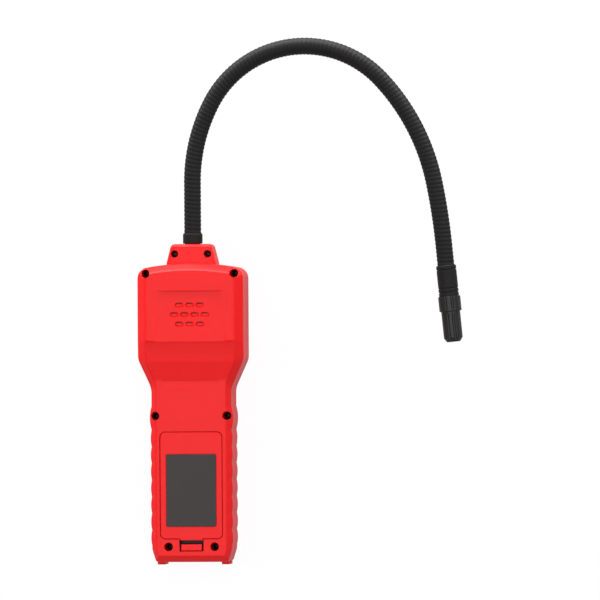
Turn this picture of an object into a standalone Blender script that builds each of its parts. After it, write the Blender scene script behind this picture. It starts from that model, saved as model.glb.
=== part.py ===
"""Refrigerant leak detector: a two-part moulded housing with a bendable sensor neck.

The tool lies on its front face, as it comes to rest on a table. +Z leaves the rear face, +Y runs
along the housing towards the neck, and +X lies to the right when the rear face is seen with the
neck at the top. Distances called "y" below run from the butt end of the grip.
"""

import math

import bmesh
import bpy
from mathutils import Matrix, Vector

# Housing plan, seen from the rear
GRIP_WIDTH = 0.0466
HEAD_WIDTH = 0.0616
BUTT_WIDTH = 0.0420
BUTT_TAPER = 0.0075
GRIP_LENGTH = 0.1007
NECKDOWN_LENGTH = 0.0167
HEAD_LENGTH = 0.0523
CROWN_RISE = 0.0033
SHOULDER_RADIUS = 0.0065
WAIST_RADIUS = 0.0130
HEAD_CORNER_RADIUS = 0.0100
BUTT_RADIUS = 0.0020
GRIP_HEEL_RADIUS = 0.0070

# Housing depth
GRIP_DEPTH = 0.0350
HEAD_DEPTH = 0.0395
SEAM_HEIGHT = 0.0175
SLOPE_LEAD = 0.0049
SLOPE_LENGTH = 0.0226
WALL = 0.0022
CLEARANCE = 0.0003
REST_POINT = 0.0450

# Rear bevel: how far it runs in from the flank, and how far it drops below the rear face
GRIP_BEVEL_RUN = 0.0034
TAPER_BEVEL_RUN = 0.0045
HEAD_BEVEL_RUN = 0.0058
CROWN_BEVEL_RUN = 0.0046
BUTT_BEVEL_RUN = 0.0020
GRIP_BEVEL_DROP = 0.0046
HEAD_BEVEL_DROP = 0.0064
FRONT_BEVEL = 0.0020

# Finger scallops along both flanks of the grip, and the swelling that hides the waist screws
SCALLOP_COUNT = 6
SCALLOP_START = 0.0186
SCALLOP_HEIGHT = 0.00055
HEEL_SWELL_LENGTH = 0.0090
WAIST_SWELL_LENGTH = 0.0136
WAIST_SWELL_HEIGHT = 0.0010
WAIST_PLAIN_LENGTH = 0.0105

# Feet moulded on the butt end
FOOT_WIDTH = 0.0044
FOOT_INSET = 0.0023
FOOT_HEIGHT = 0.0016
FOOT_ABOVE_SEAM = 0.0032
REAR_FOOT_TOP = 0.0245
FRONT_FOOT_FLOOR = 0.0053

# Collar that clamps the neck between the two halves
COLLAR_LENGTH = 0.0112
COLLAR_BASE_WIDTH = 0.0288
COLLAR_TOP_WIDTH = 0.0232
COLLAR_DEPTH = 0.0232
COLLAR_CORNER_RADIUS = 0.0026
COLLAR_BEVEL = 0.0024
COLLAR_ROOT = 0.0064

# Case screws in deep wells, driven from the rear
WELL_DIAMETER = 0.0050
BOSS_DIAMETER = 0.0070
SCREW_HEAD_DIAMETER = 0.0044
SCREW_HEAD_HEIGHT = 0.0019
SCREW_SHANK_DIAMETER = 0.0024
SCREW_LENGTH = 0.0120
SCREW_SEAT_ABOVE_SEAM = 0.0030
SHOULDER_SCREW_INSET = (0.0051, 0.0026)
WAIST_SCREW_INSET = (0.0025, 0.0081)
BUTT_SCREW_INSET = (0.0076, 0.0089)
COLLAR_SCREW_INSET = (0.0048, 0.0055)
COLLAR_WELL_DIAMETER = 0.0044
COLLAR_HEAD_DIAMETER = 0.0037
COLLAR_HEAD_HEIGHT = 0.0015
COLLAR_SHANK_DIAMETER = 0.0019
COLLAR_SCREW_LENGTH = 0.0100
COLLAR_SEAT_ABOVE_SEAM = 0.0050

# Battery bay with four cells in two layers, two side by side
CELL_DIAMETER = 0.0145
CELL_LENGTH = 0.0495
CELL_NUB_DIAMETER = 0.0055
CELL_NUB_LENGTH = 0.0010
BAY_START = 0.0150
BAY_WALL = 0.0015
CONTACT_THICKNESS = 0.0005
SPRING_LENGTH = 0.0042
SPRING_TURNS = 2
SPRING_WIRE = 0.0006
SPRING_BASE_RADIUS = 0.0036
SPRING_TIP_RADIUS = 0.0024

# Battery door and the snap tab at its foot
DOOR_WIDTH = 0.0360
DOOR_START = 0.0135
DOOR_LENGTH = 0.0618
DOOR_THICKNESS = 0.0020
DOOR_CORNER_RADIUS = 0.0030
SEAT_RIM = 0.0016
TAB_WIDTH = 0.0134
TAB_REACH = 0.0013
LATCH_WIDTH = 0.0118
LATCH_SLOT = 0.0026
LATCH_LIP = 0.0030
LATCH_DEPTH = 0.0056
LATCH_WEB = 0.0011
NOTCH_MARGIN = 0.0008
LUG_SPREAD = 0.0090
LUG_WIDTH = 0.0040
LUG_REACH = 0.0023
LUG_THICKNESS = 0.0013

# Dark rating panel on the door, left blank
LABEL_WIDTH = 0.0288
LABEL_LENGTH = 0.0418
LABEL_START = 0.0206
LABEL_THICKNESS = 0.0003
LABEL_PROUD = 0.0001
LABEL_CORNER = 0.0008

# Sound outlet in the rear of the head
SPEAKER_BELOW_CROWN = 0.0297
SPEAKER_DIAMETER = 0.0280
SPEAKER_THICKNESS = 0.0052
SPEAKER_RING_WALL = 0.0012
SPEAKER_RING_DEPTH = 0.0075
PAD_WIDTH = 0.0454
PAD_SIDE_RUN = 0.0033
PAD_BELOW_CROWN = 0.0162
PAD_LENGTH = 0.0368
PAD_CORNER = 0.0032
PAD_DEPTH = 0.0009
LOUVRE_WIDTH = 0.0049
LOUVRE_HEIGHT = 0.0028
LOUVRE_DEPTH = 0.0007
LOUVRE_SLIT = 0.0009
LOUVRE_PITCH_X = 0.0060
LOUVRE_PITCH_Y = 0.0055
LOUVRE_ROWS = (3, 4, 3)

# Front controls, sunk in a tray so that the tool can lie on its face
TRAY_WIDTH = 0.0390
TRAY_BELOW_TAPER = 0.0190
TRAY_LENGTH = 0.0590
TRAY_DEPTH = 0.0012
TRAY_RADIUS = 0.0040
WINDOW_WIDTH = 0.0300
WINDOW_HEIGHT = 0.0070
WINDOW_ABOVE_TRAY = 0.0465
WINDOW_RISE = 0.0003
KEY_WIDTH = 0.0100
KEY_HEIGHT = 0.0070
KEY_RISE = 0.0007
KEY_TRAVEL = 0.0006
KEY_RADIUS = 0.0015
KEY_SPREAD = 0.0088
KEY_ABOVE_TRAY = 0.0090
KEY_PITCH_Y = 0.0165
FLANGE_MARGIN = 0.0012
FLANGE_THICKNESS = 0.0010

# Circuit board, heat-staked on posts of the front case
BOARD_WIDTH = 0.0400
BOARD_ABOVE_TRAY = 0.0005
BOARD_LENGTH = 0.0600
BOARD_THICKNESS = 0.0016
BOARD_HEIGHT = 0.0100
CHIP_HEIGHT = 0.0011
CHIPS = (  # x, distance up the board, width, length
    (0.0, 0.0310, 0.0100, 0.0070),
    (-0.0110, 0.0250, 0.0050, 0.0040),
    (0.0115, 0.0390, 0.0045, 0.0060),
)
POST_DIAMETER = 0.0044
POST_PIN_DIAMETER = 0.0020
POST_PIN_LENGTH = 0.0026
POST_INSET = 0.0032
SWITCH_SIZE = 0.0060
SWITCH_PLUNGER = 0.0034

# Bendable neck: each stretch of its arch has a length and a turn in degrees
NECK_STRETCHES = (
    (0.0295, 0.0),
    (0.0475, 27.5),
    (0.1166, 109.5),
    (0.0680, 31.5),
    (0.0375, 6.0),
    (0.0115, 0.0),
)
NECK_DIAMETER = 0.0099
NECK_WALL = 0.0008
NECK_BENDS = 9
FLEX_LENGTH = 0.0060
NECK_STEP = 0.0080
RIB_PITCH = 0.0019
RIB_DEPTH = 0.0004
NECK_SIDES = 12

# Ferrules at the two ends of the neck
BASE_BARREL_DIAMETER = 0.0114
BASE_BARREL_LENGTH = 0.0064
SPIGOT_DIAMETER = 0.0090
RETAINER_DIAMETER = 0.0140
RETAINER_THICKNESS = 0.0020
RETAINER_DEPTH = 0.0135
WIRE_BORE = 0.0040
NECK_SEAT = 0.0050
TIP_BARREL_DIAMETER = 0.0116
TIP_BARREL_LENGTH = 0.0180
TIP_GROOVE_DEPTH = 0.0003
TIP_GROOVE_WIDTH = 0.0008

# Sensor and the cap that slides over it
SOCKET_DIAMETER = 0.0082
SOCKET_LENGTH = 0.0170
SOCKET_SEATED = 0.0080
SENSOR_DIAMETER = 0.0074
SENSOR_LENGTH = 0.0080
CAP_BAND_DIAMETER = 0.0129
CAP_BAND_LENGTH = 0.0087
CAP_DIAMETER = 0.0110
CAP_LENGTH = 0.0265
CAP_BORE = 0.0090
CAP_NOSE_CHAMFER = 0.0024
CAP_NOSE_WALL = 0.0020
CAP_FLUTES = 10
FLUTE_DIAMETER = 0.0016
VENT_DIAMETER = 0.0014
VENT_RING = 0.0022

ROUND_SIDES = 20
HOLE_SIDES = 12
REACH = 0.0600  # how far a through cut runs past the housing


# Materials and collections

def make_material(name, colour, roughness, metallic=0.0, alpha=1.0):
    material = bpy.data.materials.new(name)
    material.use_nodes = True
    shader = material.node_tree.nodes["Principled BSDF"]
    shader.inputs["Base Color"].default_value = (*colour, 1.0)
    shader.inputs["Roughness"].default_value = roughness
    shader.inputs["Metallic"].default_value = metallic
    shader.inputs["Alpha"].default_value = alpha
    material.diffuse_color = (*colour, alpha)
    return material


for old in list(bpy.data.objects):
    bpy.data.objects.remove(old, do_unlink=True)

PARTS = bpy.data.collections.new("refrigerant_leak_detector")
CUTTERS = bpy.data.collections.new("cutters")
bpy.context.scene.collection.children.link(PARTS)
bpy.context.scene.collection.children.link(CUTTERS)

# The housing's y distances start at the butt end, and the world's origin is the rest point.
DATUM = bpy.data.objects.new("butt_end_datum", None)
DATUM.location = (0.0, -REST_POINT, 0.0)
PARTS.objects.link(DATUM)


# Shapes

def part(name, mesh, material, origin=(0.0, 0.0, 0.0), parent=None):
    """A visible piece whose mesh is given in housing coordinates and whose origin is set here."""
    origin = Vector(origin)
    mesh.transform(Matrix.Translation(-origin))
    piece = bpy.data.objects.new(name, mesh)
    piece.parent = parent or DATUM
    piece.location = origin - (part.origins[parent.name] if parent else Vector())
    part.origins[name] = origin
    mesh.materials.clear()
    mesh.materials.append(material)
    PARTS.objects.link(piece)
    return piece


part.origins = {}


def tool_shape(name, mesh):
    """A cutter or guide, kept out of the render."""
    shape = bpy.data.objects.new(name, mesh)
    shape.parent = DATUM
    shape.hide_render = True
    shape.display_type = "WIRE"
    CUTTERS.objects.link(shape)
    return shape


def boolean(piece, mesh, operation, name):
    """Adds a Boolean with a cutter made from mesh, which may hold several separate solids."""
    shape = tool_shape(f"{piece.name}_{name}", mesh)
    modifier = piece.modifiers.new(name, "BOOLEAN")
    modifier.operation = operation
    modifier.object = shape
    return shape


def cut(piece, mesh, name):
    return boolean(piece, mesh, "DIFFERENCE", name)


def fuse(piece, mesh, name):
    return boolean(piece, mesh, "UNION", name)


def mesh_of(bm):
    bmesh.ops.recalc_face_normals(bm, faces=bm.faces)
    if bm.calc_volume(signed=True) < 0:
        bmesh.ops.reverse_faces(bm, faces=bm.faces)
    mesh = bpy.data.meshes.new("shape")
    bm.to_mesh(mesh)
    bm.free()
    return mesh


def gathered(meshes):
    """One mesh that holds several separate solids."""
    bm = bmesh.new()
    for mesh in meshes:
        bm.from_mesh(mesh)
        bpy.data.meshes.remove(mesh)
    return mesh_of(bm)


def box(low, high):
    bm = bmesh.new()
    bmesh.ops.create_cube(bm, size=1.0)
    low, high = Vector(low), Vector(high)
    bmesh.ops.scale(bm, vec=high - low, verts=bm.verts)
    bmesh.ops.translate(bm, vec=(low + high) / 2, verts=bm.verts)
    return mesh_of(bm)


def cylinder(radius, start, end, sides=HOLE_SIDES, end_radius=None):
    """A cylinder or cone between two points."""
    start, end = Vector(start), Vector(end)
    bm = bmesh.new()
    top = radius if end_radius is None else end_radius
    bmesh.ops.create_cone(
        bm, cap_ends=True, segments=sides, radius1=radius, radius2=top, depth=(end - start).length
    )
    turn = Vector((0.0, 0.0, 1.0)).rotation_difference(end - start).to_matrix().to_4x4()
    bmesh.ops.transform(bm, matrix=Matrix.Translation((start + end) / 2) @ turn, verts=bm.verts)
    return mesh_of(bm)


def tube(outer, inner, start, end, sides=ROUND_SIDES):
    """A plain tube between two points, as one closed solid."""
    return swept([(0.0, outer), (1.0, outer)], (0.0, 1.0), inner, sides, lambda s: straight(start, end, s))


def straight(start, end, share):
    start, end = Vector(start), Vector(end)
    return start.lerp(end, share), (end - start).normalized()


def swept(outline, bore_places, bore, sides, path):
    """A tube along path(s): outline gives (s, outer radius), and the even bore has a ring at each place."""
    bm = bmesh.new()

    def ring(s, radius):
        centre, along = path(s)
        side = along.cross(Vector((0.0, 0.0, 1.0)))
        side = side.normalized() if side.length > 0.01 else Vector((1.0, 0.0, 0.0))
        up = side.cross(along)
        turns = [2 * math.pi * i / sides for i in range(sides)]
        return [
            bm.verts.new(centre + radius * (math.cos(turn) * side + math.sin(turn) * up))
            for turn in turns
        ]

    rings = [ring(s, radius) for s, radius in outline]
    rings += [ring(s, bore) for s in reversed(bore_places)]
    for first, second in zip(rings, rings[1:] + rings[:1]):
        for i in range(sides):
            j = (i + 1) % sides
            bm.faces.new((first[i], first[j], second[j], second[i]))
    return mesh_of(bm)


def turned(profile, sides=ROUND_SIDES):
    """A solid of revolution about Z from (radius, height) points that start and end on the axis."""
    bm = bmesh.new()
    verts = [bm.verts.new((radius, 0.0, height)) for radius, height in profile]
    edges = [bm.edges.new(pair) for pair in zip(verts, verts[1:])]
    bmesh.ops.spin(
        bm, geom=verts + edges, axis=(0.0, 0.0, 1.0), cent=(0.0, 0.0, 0.0), angle=2 * math.pi,
        steps=sides, use_merge=True,
    )
    bmesh.ops.remove_doubles(bm, verts=bm.verts, dist=1e-6)
    return mesh_of(bm)


def stand(mesh, foot, along):
    """Moves a shape made along +Z so that it starts at foot and points along a direction."""
    turn = Vector((0.0, 0.0, 1.0)).rotation_difference(Vector(along)).to_matrix().to_4x4()
    mesh.transform(Matrix.Translation(foot) @ turn)
    return mesh


def plate(points, low, high):
    """A flat outline with a thickness, from (x, y) points listed anticlockwise."""
    bm = bmesh.new()
    bottom = [bm.verts.new((x, y, low)) for x, y in points]
    top = [bm.verts.new((x, y, high)) for x, y in points]
    bm.faces.new(list(reversed(bottom)))
    bm.faces.new(top)
    count = len(points)
    for i in range(count):
        j = (i + 1) % count
        bm.faces.new((bottom[i], bottom[j], top[j], top[i]))
    return mesh_of(bm)


def frame_plate(outer, inner, low, high):
    """A rectangular frame: outer and inner are (x, y, X, Y) rectangles."""
    bm = bmesh.new()

    def corners(rect, z):
        x, y, far_x, far_y = rect
        return [bm.verts.new((a, b, z)) for a, b in ((x, y), (far_x, y), (far_x, far_y), (x, far_y))]

    loops = [corners(outer, low), corners(outer, high), corners(inner, high), corners(inner, low)]
    for first, second in zip(loops, loops[1:] + loops[:1]):
        for i in range(4):
            j = (i + 1) % 4
            bm.faces.new((first[i], first[j], second[j], second[i]))
    return mesh_of(bm)


def rounded_rectangle(x, y, far_x, far_y, radius, steps=4):
    """Anticlockwise points of a rectangle with round corners."""
    points = []
    for centre_x, centre_y, first in (
        (far_x - radius, far_y - radius, 0),
        (x + radius, far_y - radius, 90),
        (x + radius, y + radius, 180),
        (far_x - radius, y + radius, 270),
    ):
        for i in range(steps + 1):
            turn = math.radians(first + 90 * i / steps)
            points.append((centre_x + radius * math.cos(turn), centre_y + radius * math.sin(turn)))
    return points


def profile_plate(points, low_x, high_x):
    """A side profile of (y, z) points, given a width along X."""
    mesh = plate(points, low_x, high_x)
    mesh.transform(Matrix(((0, 0, 1, 0), (1, 0, 0, 0), (0, 1, 0, 0), (0, 0, 0, 1))))
    return mesh


# The housing's plan outline

TAPER_TOP = GRIP_LENGTH + NECKDOWN_LENGTH
SHOULDER_Y = TAPER_TOP + HEAD_LENGTH
CROWN_Y = SHOULDER_Y + CROWN_RISE
SLOPE_START = GRIP_LENGTH + SLOPE_LEAD
SCALLOP_PITCH = (GRIP_LENGTH - SCALLOP_START - WAIST_SWELL_LENGTH - WAIST_PLAIN_LENGTH) / SCALLOP_COUNT
SCALLOP_END = SCALLOP_START + SCALLOP_COUNT * SCALLOP_PITCH
CROWN_RADIUS = ((HEAD_WIDTH / 2) ** 2 + CROWN_RISE**2) / (2 * CROWN_RISE)
SLOPE_END = SLOPE_START + SLOPE_LENGTH


def crown(x):
    """The shoulder line's y at a distance x from the middle."""
    return CROWN_Y - CROWN_RADIUS + math.sqrt(CROWN_RADIUS**2 - x**2)


def slope_share(y):
    return min(1.0, max(0.0, (y - SLOPE_START) / SLOPE_LENGTH))


def roof(y):
    """Height of the rear face: the grip, the slope and the deeper head."""
    return GRIP_DEPTH + (HEAD_DEPTH - GRIP_DEPTH) * slope_share(y)


def bevel_drop(y):
    return GRIP_BEVEL_DROP + (HEAD_BEVEL_DROP - GRIP_BEVEL_DROP) * slope_share(y)


def swells():
    """Every swelling of the grip's flank: where it starts, where it ends, and its height."""
    found = [(SCALLOP_START - HEEL_SWELL_LENGTH, SCALLOP_START, SCALLOP_HEIGHT)]
    for i in range(SCALLOP_COUNT):
        low = SCALLOP_START + i * SCALLOP_PITCH
        found.append((low, low + SCALLOP_PITCH, SCALLOP_HEIGHT))
    found.append((SCALLOP_END, SCALLOP_END + WAIST_SWELL_LENGTH, WAIST_SWELL_HEIGHT))
    return found


def swell_at(y):
    for low, high, height in swells():
        if low < y < high:
            return height * 4 * (y - low) * (high - y) / (high - low) ** 2
    return 0.0


def inset_corners(corners, insets):
    """Moves each edge of an open outline inwards by its own distance."""
    lines = []
    for start, end, inset in zip(corners, corners[1:], insets):
        along = (end - start).normalized()
        lines.append((start + inset * Vector((-along.y, along.x)), along))
    moved = [on_axis(*lines[0])]
    for (point, along), (other, across) in zip(lines, lines[1:]):
        share = (other - point).cross(across) / along.cross(across)
        moved.append(point + share * along)
    return moved + [on_axis(*lines[-1])]


def on_axis(point, along):
    """Where a line meets the housing's middle plane."""
    return point - along * (point.x / along.x)


def with_arcs(corners, radii, arc_steps, stations):
    """Replaces inner corners by arcs and adds the stations that an edge names by their y."""
    starts, ends, arcs = [corners[0]], [], []
    for before, corner, after, radius, steps in zip(corners, corners[1:], corners[2:], radii, arc_steps):
        back, forth = (before - corner), (after - corner)
        half = back.angle(forth) / 2
        reach = min(radius / math.tan(half), 0.45 * back.length, 0.45 * forth.length)
        radius = reach * math.tan(half)
        back.normalize()
        forth.normalize()
        centre = corner + (back + forth).normalized() * (radius / math.sin(half))
        first, last = corner + back * reach - centre, corner + forth * reach - centre
        sweep = first.angle_signed(last)
        turned_by = [first.copy() for _ in range(steps + 1)]
        for i, spoke in enumerate(turned_by):
            spoke.rotate(Matrix.Rotation(-sweep * i / steps, 2))
        arcs.append([centre + spoke for spoke in turned_by])
        ends.append(corner + back * reach)
        starts.append(corner + forth * reach)
    ends.append(corners[-1])
    points = []
    for i, (start, end) in enumerate(zip(starts, ends)):
        if i == 0:
            points.append(start)
        for y in stations.get(i, ()):
            low, high = start.y + 1e-5, end.y - 1e-5
            share = (min(max(y, low), high) - start.y) / (end.y - start.y)
            points.append(start.lerp(end, share))
        points += arcs[i] if i < len(arcs) else [end]
    return points


SWELL_SHARES = (0.0, 0.28, 0.72)
CROWN_X = tuple(HEAD_WIDTH / 2 * share for share in (0.6, 0.3))
PLAN = [
    Vector((0.0, 0.0)),
    Vector((BUTT_WIDTH / 2, 0.0)),
    Vector((GRIP_WIDTH / 2, BUTT_TAPER)),
    Vector((GRIP_WIDTH / 2, GRIP_LENGTH)),
    Vector((HEAD_WIDTH / 2, TAPER_TOP)),
    Vector((HEAD_WIDTH / 2, SHOULDER_Y)),
    *(Vector((x, crown(x))) for x in CROWN_X),
    Vector((0.0, CROWN_Y)),
]
BEVEL_RUNS = (
    BUTT_BEVEL_RUN, BUTT_BEVEL_RUN, GRIP_BEVEL_RUN, TAPER_BEVEL_RUN, HEAD_BEVEL_RUN,
    CROWN_BEVEL_RUN, CROWN_BEVEL_RUN, CROWN_BEVEL_RUN,
)
PLAN_RADII = (
    BUTT_RADIUS, GRIP_HEEL_RADIUS, WAIST_RADIUS, HEAD_CORNER_RADIUS, SHOULDER_RADIUS,
    CROWN_RADIUS, CROWN_RADIUS,
)
BULGE = (1, 1, -1, 1, 1, 1, 1)  # -1 where the outline is hollow
ARC_STEPS = (2, 2, 4, 2, 4, 2, 2)
FLAT_ARC = 0.0003


def plan_loop(inset=0.0, bevel_share=0.0, runs=BEVEL_RUNS, relief=0.0):
    """Right half of the plan outline, moved in by inset and by a share of each edge's bevel run."""
    insets = [inset + bevel_share * run for run in runs]
    corners = inset_corners(PLAN, insets)
    radii = [
        max(FLAT_ARC, radius - bulge * inset_here)
        for radius, bulge, inset_here in zip(PLAN_RADII, BULGE, insets)
    ]
    stations = {3: (SLOPE_START,), 4: (SLOPE_END,)}
    if relief is not None:
        marks = [low + (high - low) * share for low, high, _ in swells() for share in SWELL_SHARES]
        stations[2] = (*marks, swells()[-1][1])
    points = with_arcs(corners, radii, ARC_STEPS, stations)
    if not relief:
        return points
    return [
        Vector((p.x + relief * swell_at(p.y), p.y)) if abs(p.x - GRIP_WIDTH / 2 + insets[2]) < 1e-6 else p
        for p in points
    ]


def stacked(levels):
    """A closed solid from levels of (half outline, height function), mirrored across X."""
    bm = bmesh.new()
    loops = [[bm.verts.new((p.x, p.y, height(p.y))) for p in points] for points, height in levels]
    for first, second in zip(loops, loops[1:]):
        for i in range(len(first) - 1):
            bm.faces.new((first[i], first[i + 1], second[i + 1], second[i]))
    for loop in (loops[0], loops[-1]):
        spine = [loop[0]]
        for vert in loop[1:-1]:
            new = vert.co.y - spine[-1].co.y > 1e-6 and loop[-1].co.y - vert.co.y > 1e-6
            spine.append(bm.verts.new((0.0, vert.co.y, vert.co.z)) if new else spine[-1])
        spine.append(loop[-1])
        for i in range(len(loop) - 1):
            corners = dict.fromkeys((spine[i], loop[i], loop[i + 1], spine[i + 1]))
            if len(corners) > 2:
                bm.faces.new(list(corners))
    return mesh_of(bm)


def mirror(piece):
    modifier = piece.modifiers.new("right_and_left", "MIRROR")
    modifier.merge_threshold = 1e-5
    modifier.use_clip = True


def level(height):
    return lambda y: height


REAR_BEVEL_STEPS = ((0.0, 0.0), (0.07, 0.20), (0.88, 0.93), (1.0, 1.0))  # share of run, share of rise
FRONT_BEVEL_STEPS = ((0.0, 0.0), (0.25, 0.6), (1.0, 1.0))
FRONT_RUNS = (FRONT_BEVEL,) * len(BEVEL_RUNS)


def rear_body(inset, floor, relief):
    """The rear half's outer form, or with an inset the form of its hollow."""
    levels = [(plan_loop(inset, 0.0, BEVEL_RUNS, relief), level(floor))]
    for run_share, rise in REAR_BEVEL_STEPS:
        fade = None if relief is None else relief * (1 - run_share)
        levels.append((
            plan_loop(inset, run_share, BEVEL_RUNS, fade),
            lambda y, rise=rise: roof(y) - inset - (1 - rise) * bevel_drop(y),
        ))
    return stacked(levels)


def front_body(inset, ceiling, relief):
    """The front half's outer form, or with an inset the form of its hollow."""
    levels = [(plan_loop(inset, 0.0, FRONT_RUNS, relief), level(ceiling))]
    for run_share, rise in FRONT_BEVEL_STEPS:
        fade = None if relief is None else relief * (1 - run_share)
        levels.append((
            plan_loop(inset, run_share, FRONT_RUNS, fade), level(inset + (1 - rise) * FRONT_BEVEL),
        ))
    return stacked(levels)


# Sizes shared by pieces that fit together

REAR_FLOOR = SEAM_HEIGHT + CLEARANCE / 2
FRONT_CEILING = SEAM_HEIGHT - CLEARANCE / 2
CELL_X = (CELL_DIAMETER + CLEARANCE) / 2
CELL_LOW_Z = WALL + CLEARANCE + CELL_DIAMETER / 2
CELL_HIGH_Z = CELL_LOW_Z + CELL_DIAMETER + CLEARANCE
BAY_HALF_WIDTH = CELL_DIAMETER + 1.5 * CLEARANCE + 0.0001
CELL_START = BAY_START + 2 * CLEARANCE + CONTACT_THICKNESS + SPRING_LENGTH
CELL_END = CELL_START + CELL_LENGTH + CELL_NUB_LENGTH
BAY_END = CELL_END + SPRING_LENGTH + 2 * CLEARANCE + CONTACT_THICKNESS
DOOR_END = DOOR_START + DOOR_LENGTH
DOOR_TOP = GRIP_DEPTH
DOOR_UNDERSIDE = DOOR_TOP - DOOR_THICKNESS
SEAT_Z = DOOR_UNDERSIDE - CLEARANCE
BOARD_TOP = BOARD_HEIGHT + BOARD_THICKNESS
TRAY_INNER = TRAY_DEPTH + WALL
FLANGE_START = TRAY_INNER + CLEARANCE
COLLAR_TOP_Y = CROWN_Y + COLLAR_LENGTH
SPEAKER_Y = CROWN_Y - SPEAKER_BELOW_CROWN
PAD_TOP = CROWN_Y - PAD_BELOW_CROWN
TRAY_START = TAPER_TOP - TRAY_BELOW_TAPER
WINDOW_Y = TRAY_START + WINDOW_ABOVE_TRAY
KEY_LOW_Y = TRAY_START + KEY_ABOVE_TRAY
BOARD_START = TRAY_START + BOARD_ABOVE_TRAY
RETAINER_Y = COLLAR_TOP_Y - RETAINER_DEPTH
NECK_START = COLLAR_TOP_Y + BASE_BARREL_LENGTH
SHOULDER_SCREW = (HEAD_WIDTH / 2 - SHOULDER_SCREW_INSET[0], SHOULDER_Y - SHOULDER_SCREW_INSET[1])
WAIST_SCREW = (GRIP_WIDTH / 2 - WAIST_SCREW_INSET[0], SCALLOP_END + WAIST_SCREW_INSET[1])
BUTT_SCREW = (BUTT_WIDTH / 2 - BUTT_SCREW_INSET[0], BUTT_SCREW_INSET[1])
COLLAR_SCREW = (COLLAR_BASE_WIDTH / 2 - COLLAR_SCREW_INSET[0], CROWN_Y + COLLAR_SCREW_INSET[1])
FOOT_SPREAD = BUTT_WIDTH / 2 - FOOT_INSET
CASE_SCREWS = (("shoulder", SHOULDER_SCREW), ("waist", WAIST_SCREW), ("butt", BUTT_SCREW))
SIDES = (("left", -1), ("right", 1))

red = make_material("red_abs", (0.93, 0.020, 0.024), 0.38)
black_plastic = make_material("black_plastic", (0.020, 0.020, 0.021), 0.45)
black_sheath = make_material("black_neck_sheath", (0.018, 0.018, 0.019), 0.42)
panel_grey = make_material("dark_panel", (0.060, 0.056, 0.056), 0.55)
steel = make_material("zinc_plated_steel", (0.55, 0.55, 0.53), 0.35, 1.0)
key_grey = make_material("key_plastic", (0.045, 0.045, 0.048), 0.5)
smoked = make_material("smoked_window", (0.10, 0.015, 0.015), 0.12, 0.0, 0.6)
board_green = make_material("glass_epoxy_board", (0.010, 0.120, 0.045), 0.45)
cell_jacket = make_material("cell_jacket", (0.030, 0.045, 0.110), 0.35, 0.3)
nickel = make_material("nickel_plated_spring", (0.62, 0.60, 0.56), 0.3, 1.0)


# Housing halves

def collar_half(ceiling_first):
    """Half of the collar's block: a tapered outline with a bevelled face away from the seam."""
    root_y = CROWN_Y - COLLAR_ROOT
    base_y = CROWN_Y + 0.0004
    corners = [
        Vector((0.0, root_y)),
        Vector((COLLAR_BASE_WIDTH / 2, root_y)),
        Vector((COLLAR_BASE_WIDTH / 2, base_y)),
        Vector((COLLAR_TOP_WIDTH / 2, COLLAR_TOP_Y)),
        Vector((0.0, COLLAR_TOP_Y)),
    ]
    sign = 1 if ceiling_first else -1
    seam = SEAM_HEIGHT + sign * CLEARANCE / 2
    face = SEAM_HEIGHT + sign * COLLAR_DEPTH / 2
    levels = []
    for inset, height in (
        (0.0, seam),
        (0.0, face - sign * COLLAR_BEVEL),
        (0.3 * COLLAR_BEVEL, face - sign * 0.3 * COLLAR_BEVEL),
        (COLLAR_BEVEL, face),
    ):
        moved = inset_corners(corners, (0.0, inset, inset, inset))
        radii = (FLAT_ARC, FLAT_ARC, max(FLAT_ARC, COLLAR_CORNER_RADIUS - inset / 2))
        levels.append((with_arcs(moved, radii, (1, 1, 4), {}), level(height)))
    return levels


def collar_solid(rear):
    """The whole width of one collar half, with its own mirror applied."""
    levels = collar_half(rear)
    full = []
    for points, height in levels:
        full.append([(p.x, p.y, height(p.y)) for p in points] + [
            (-p.x, p.y, height(p.y)) for p in reversed(points[1:-1])
        ])
    bm = bmesh.new()
    loops = [[bm.verts.new(co) for co in loop] for loop in full]
    for first, second in zip(loops, loops[1:]):
        for i in range(len(first)):
            j = (i + 1) % len(first)
            bm.faces.new((first[i], first[j], second[j], second[i]))
    bm.faces.new(loops[0])
    bm.faces.new(loops[-1])
    return mesh_of(bm)


def neck_bores():
    """What the clamped end of the neck's base ferrule takes out of the collar."""
    axis_z = SEAM_HEIGHT
    spigot = cylinder(
        SPIGOT_DIAMETER / 2 + CLEARANCE, (0, CROWN_Y - 2 * COLLAR_ROOT, axis_z),
        (0, COLLAR_TOP_Y + WALL, axis_z), ROUND_SIDES,
    )
    pocket = cylinder(
        RETAINER_DIAMETER / 2 + CLEARANCE, (0, RETAINER_Y - CLEARANCE, axis_z),
        (0, RETAINER_Y + RETAINER_THICKNESS + CLEARANCE, axis_z), ROUND_SIDES,
    )
    return spigot, pocket


def feet(low, high):
    """Both feet of one half, from a lower to an upper height."""
    half = FOOT_WIDTH / 2
    return gathered([
        box((side * FOOT_SPREAD - half, -FOOT_HEIGHT, low), (side * FOOT_SPREAD + half, BUTT_TAPER / 2, high))
        for _, side in SIDES
    ])


def bay_rectangle(margin=0.0, end_margin=None):
    end_margin = margin if end_margin is None else end_margin
    return (
        -BAY_HALF_WIDTH - margin, BAY_START - end_margin, BAY_HALF_WIDTH + margin, BAY_END + end_margin,
    )


def bosses(screws, radius, low, high):
    return [
        cylinder(radius, (side * x, y, low), (side * x, y, high), HOLE_SIDES)
        for _, (x, y) in screws for _, side in SIDES
    ]


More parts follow.
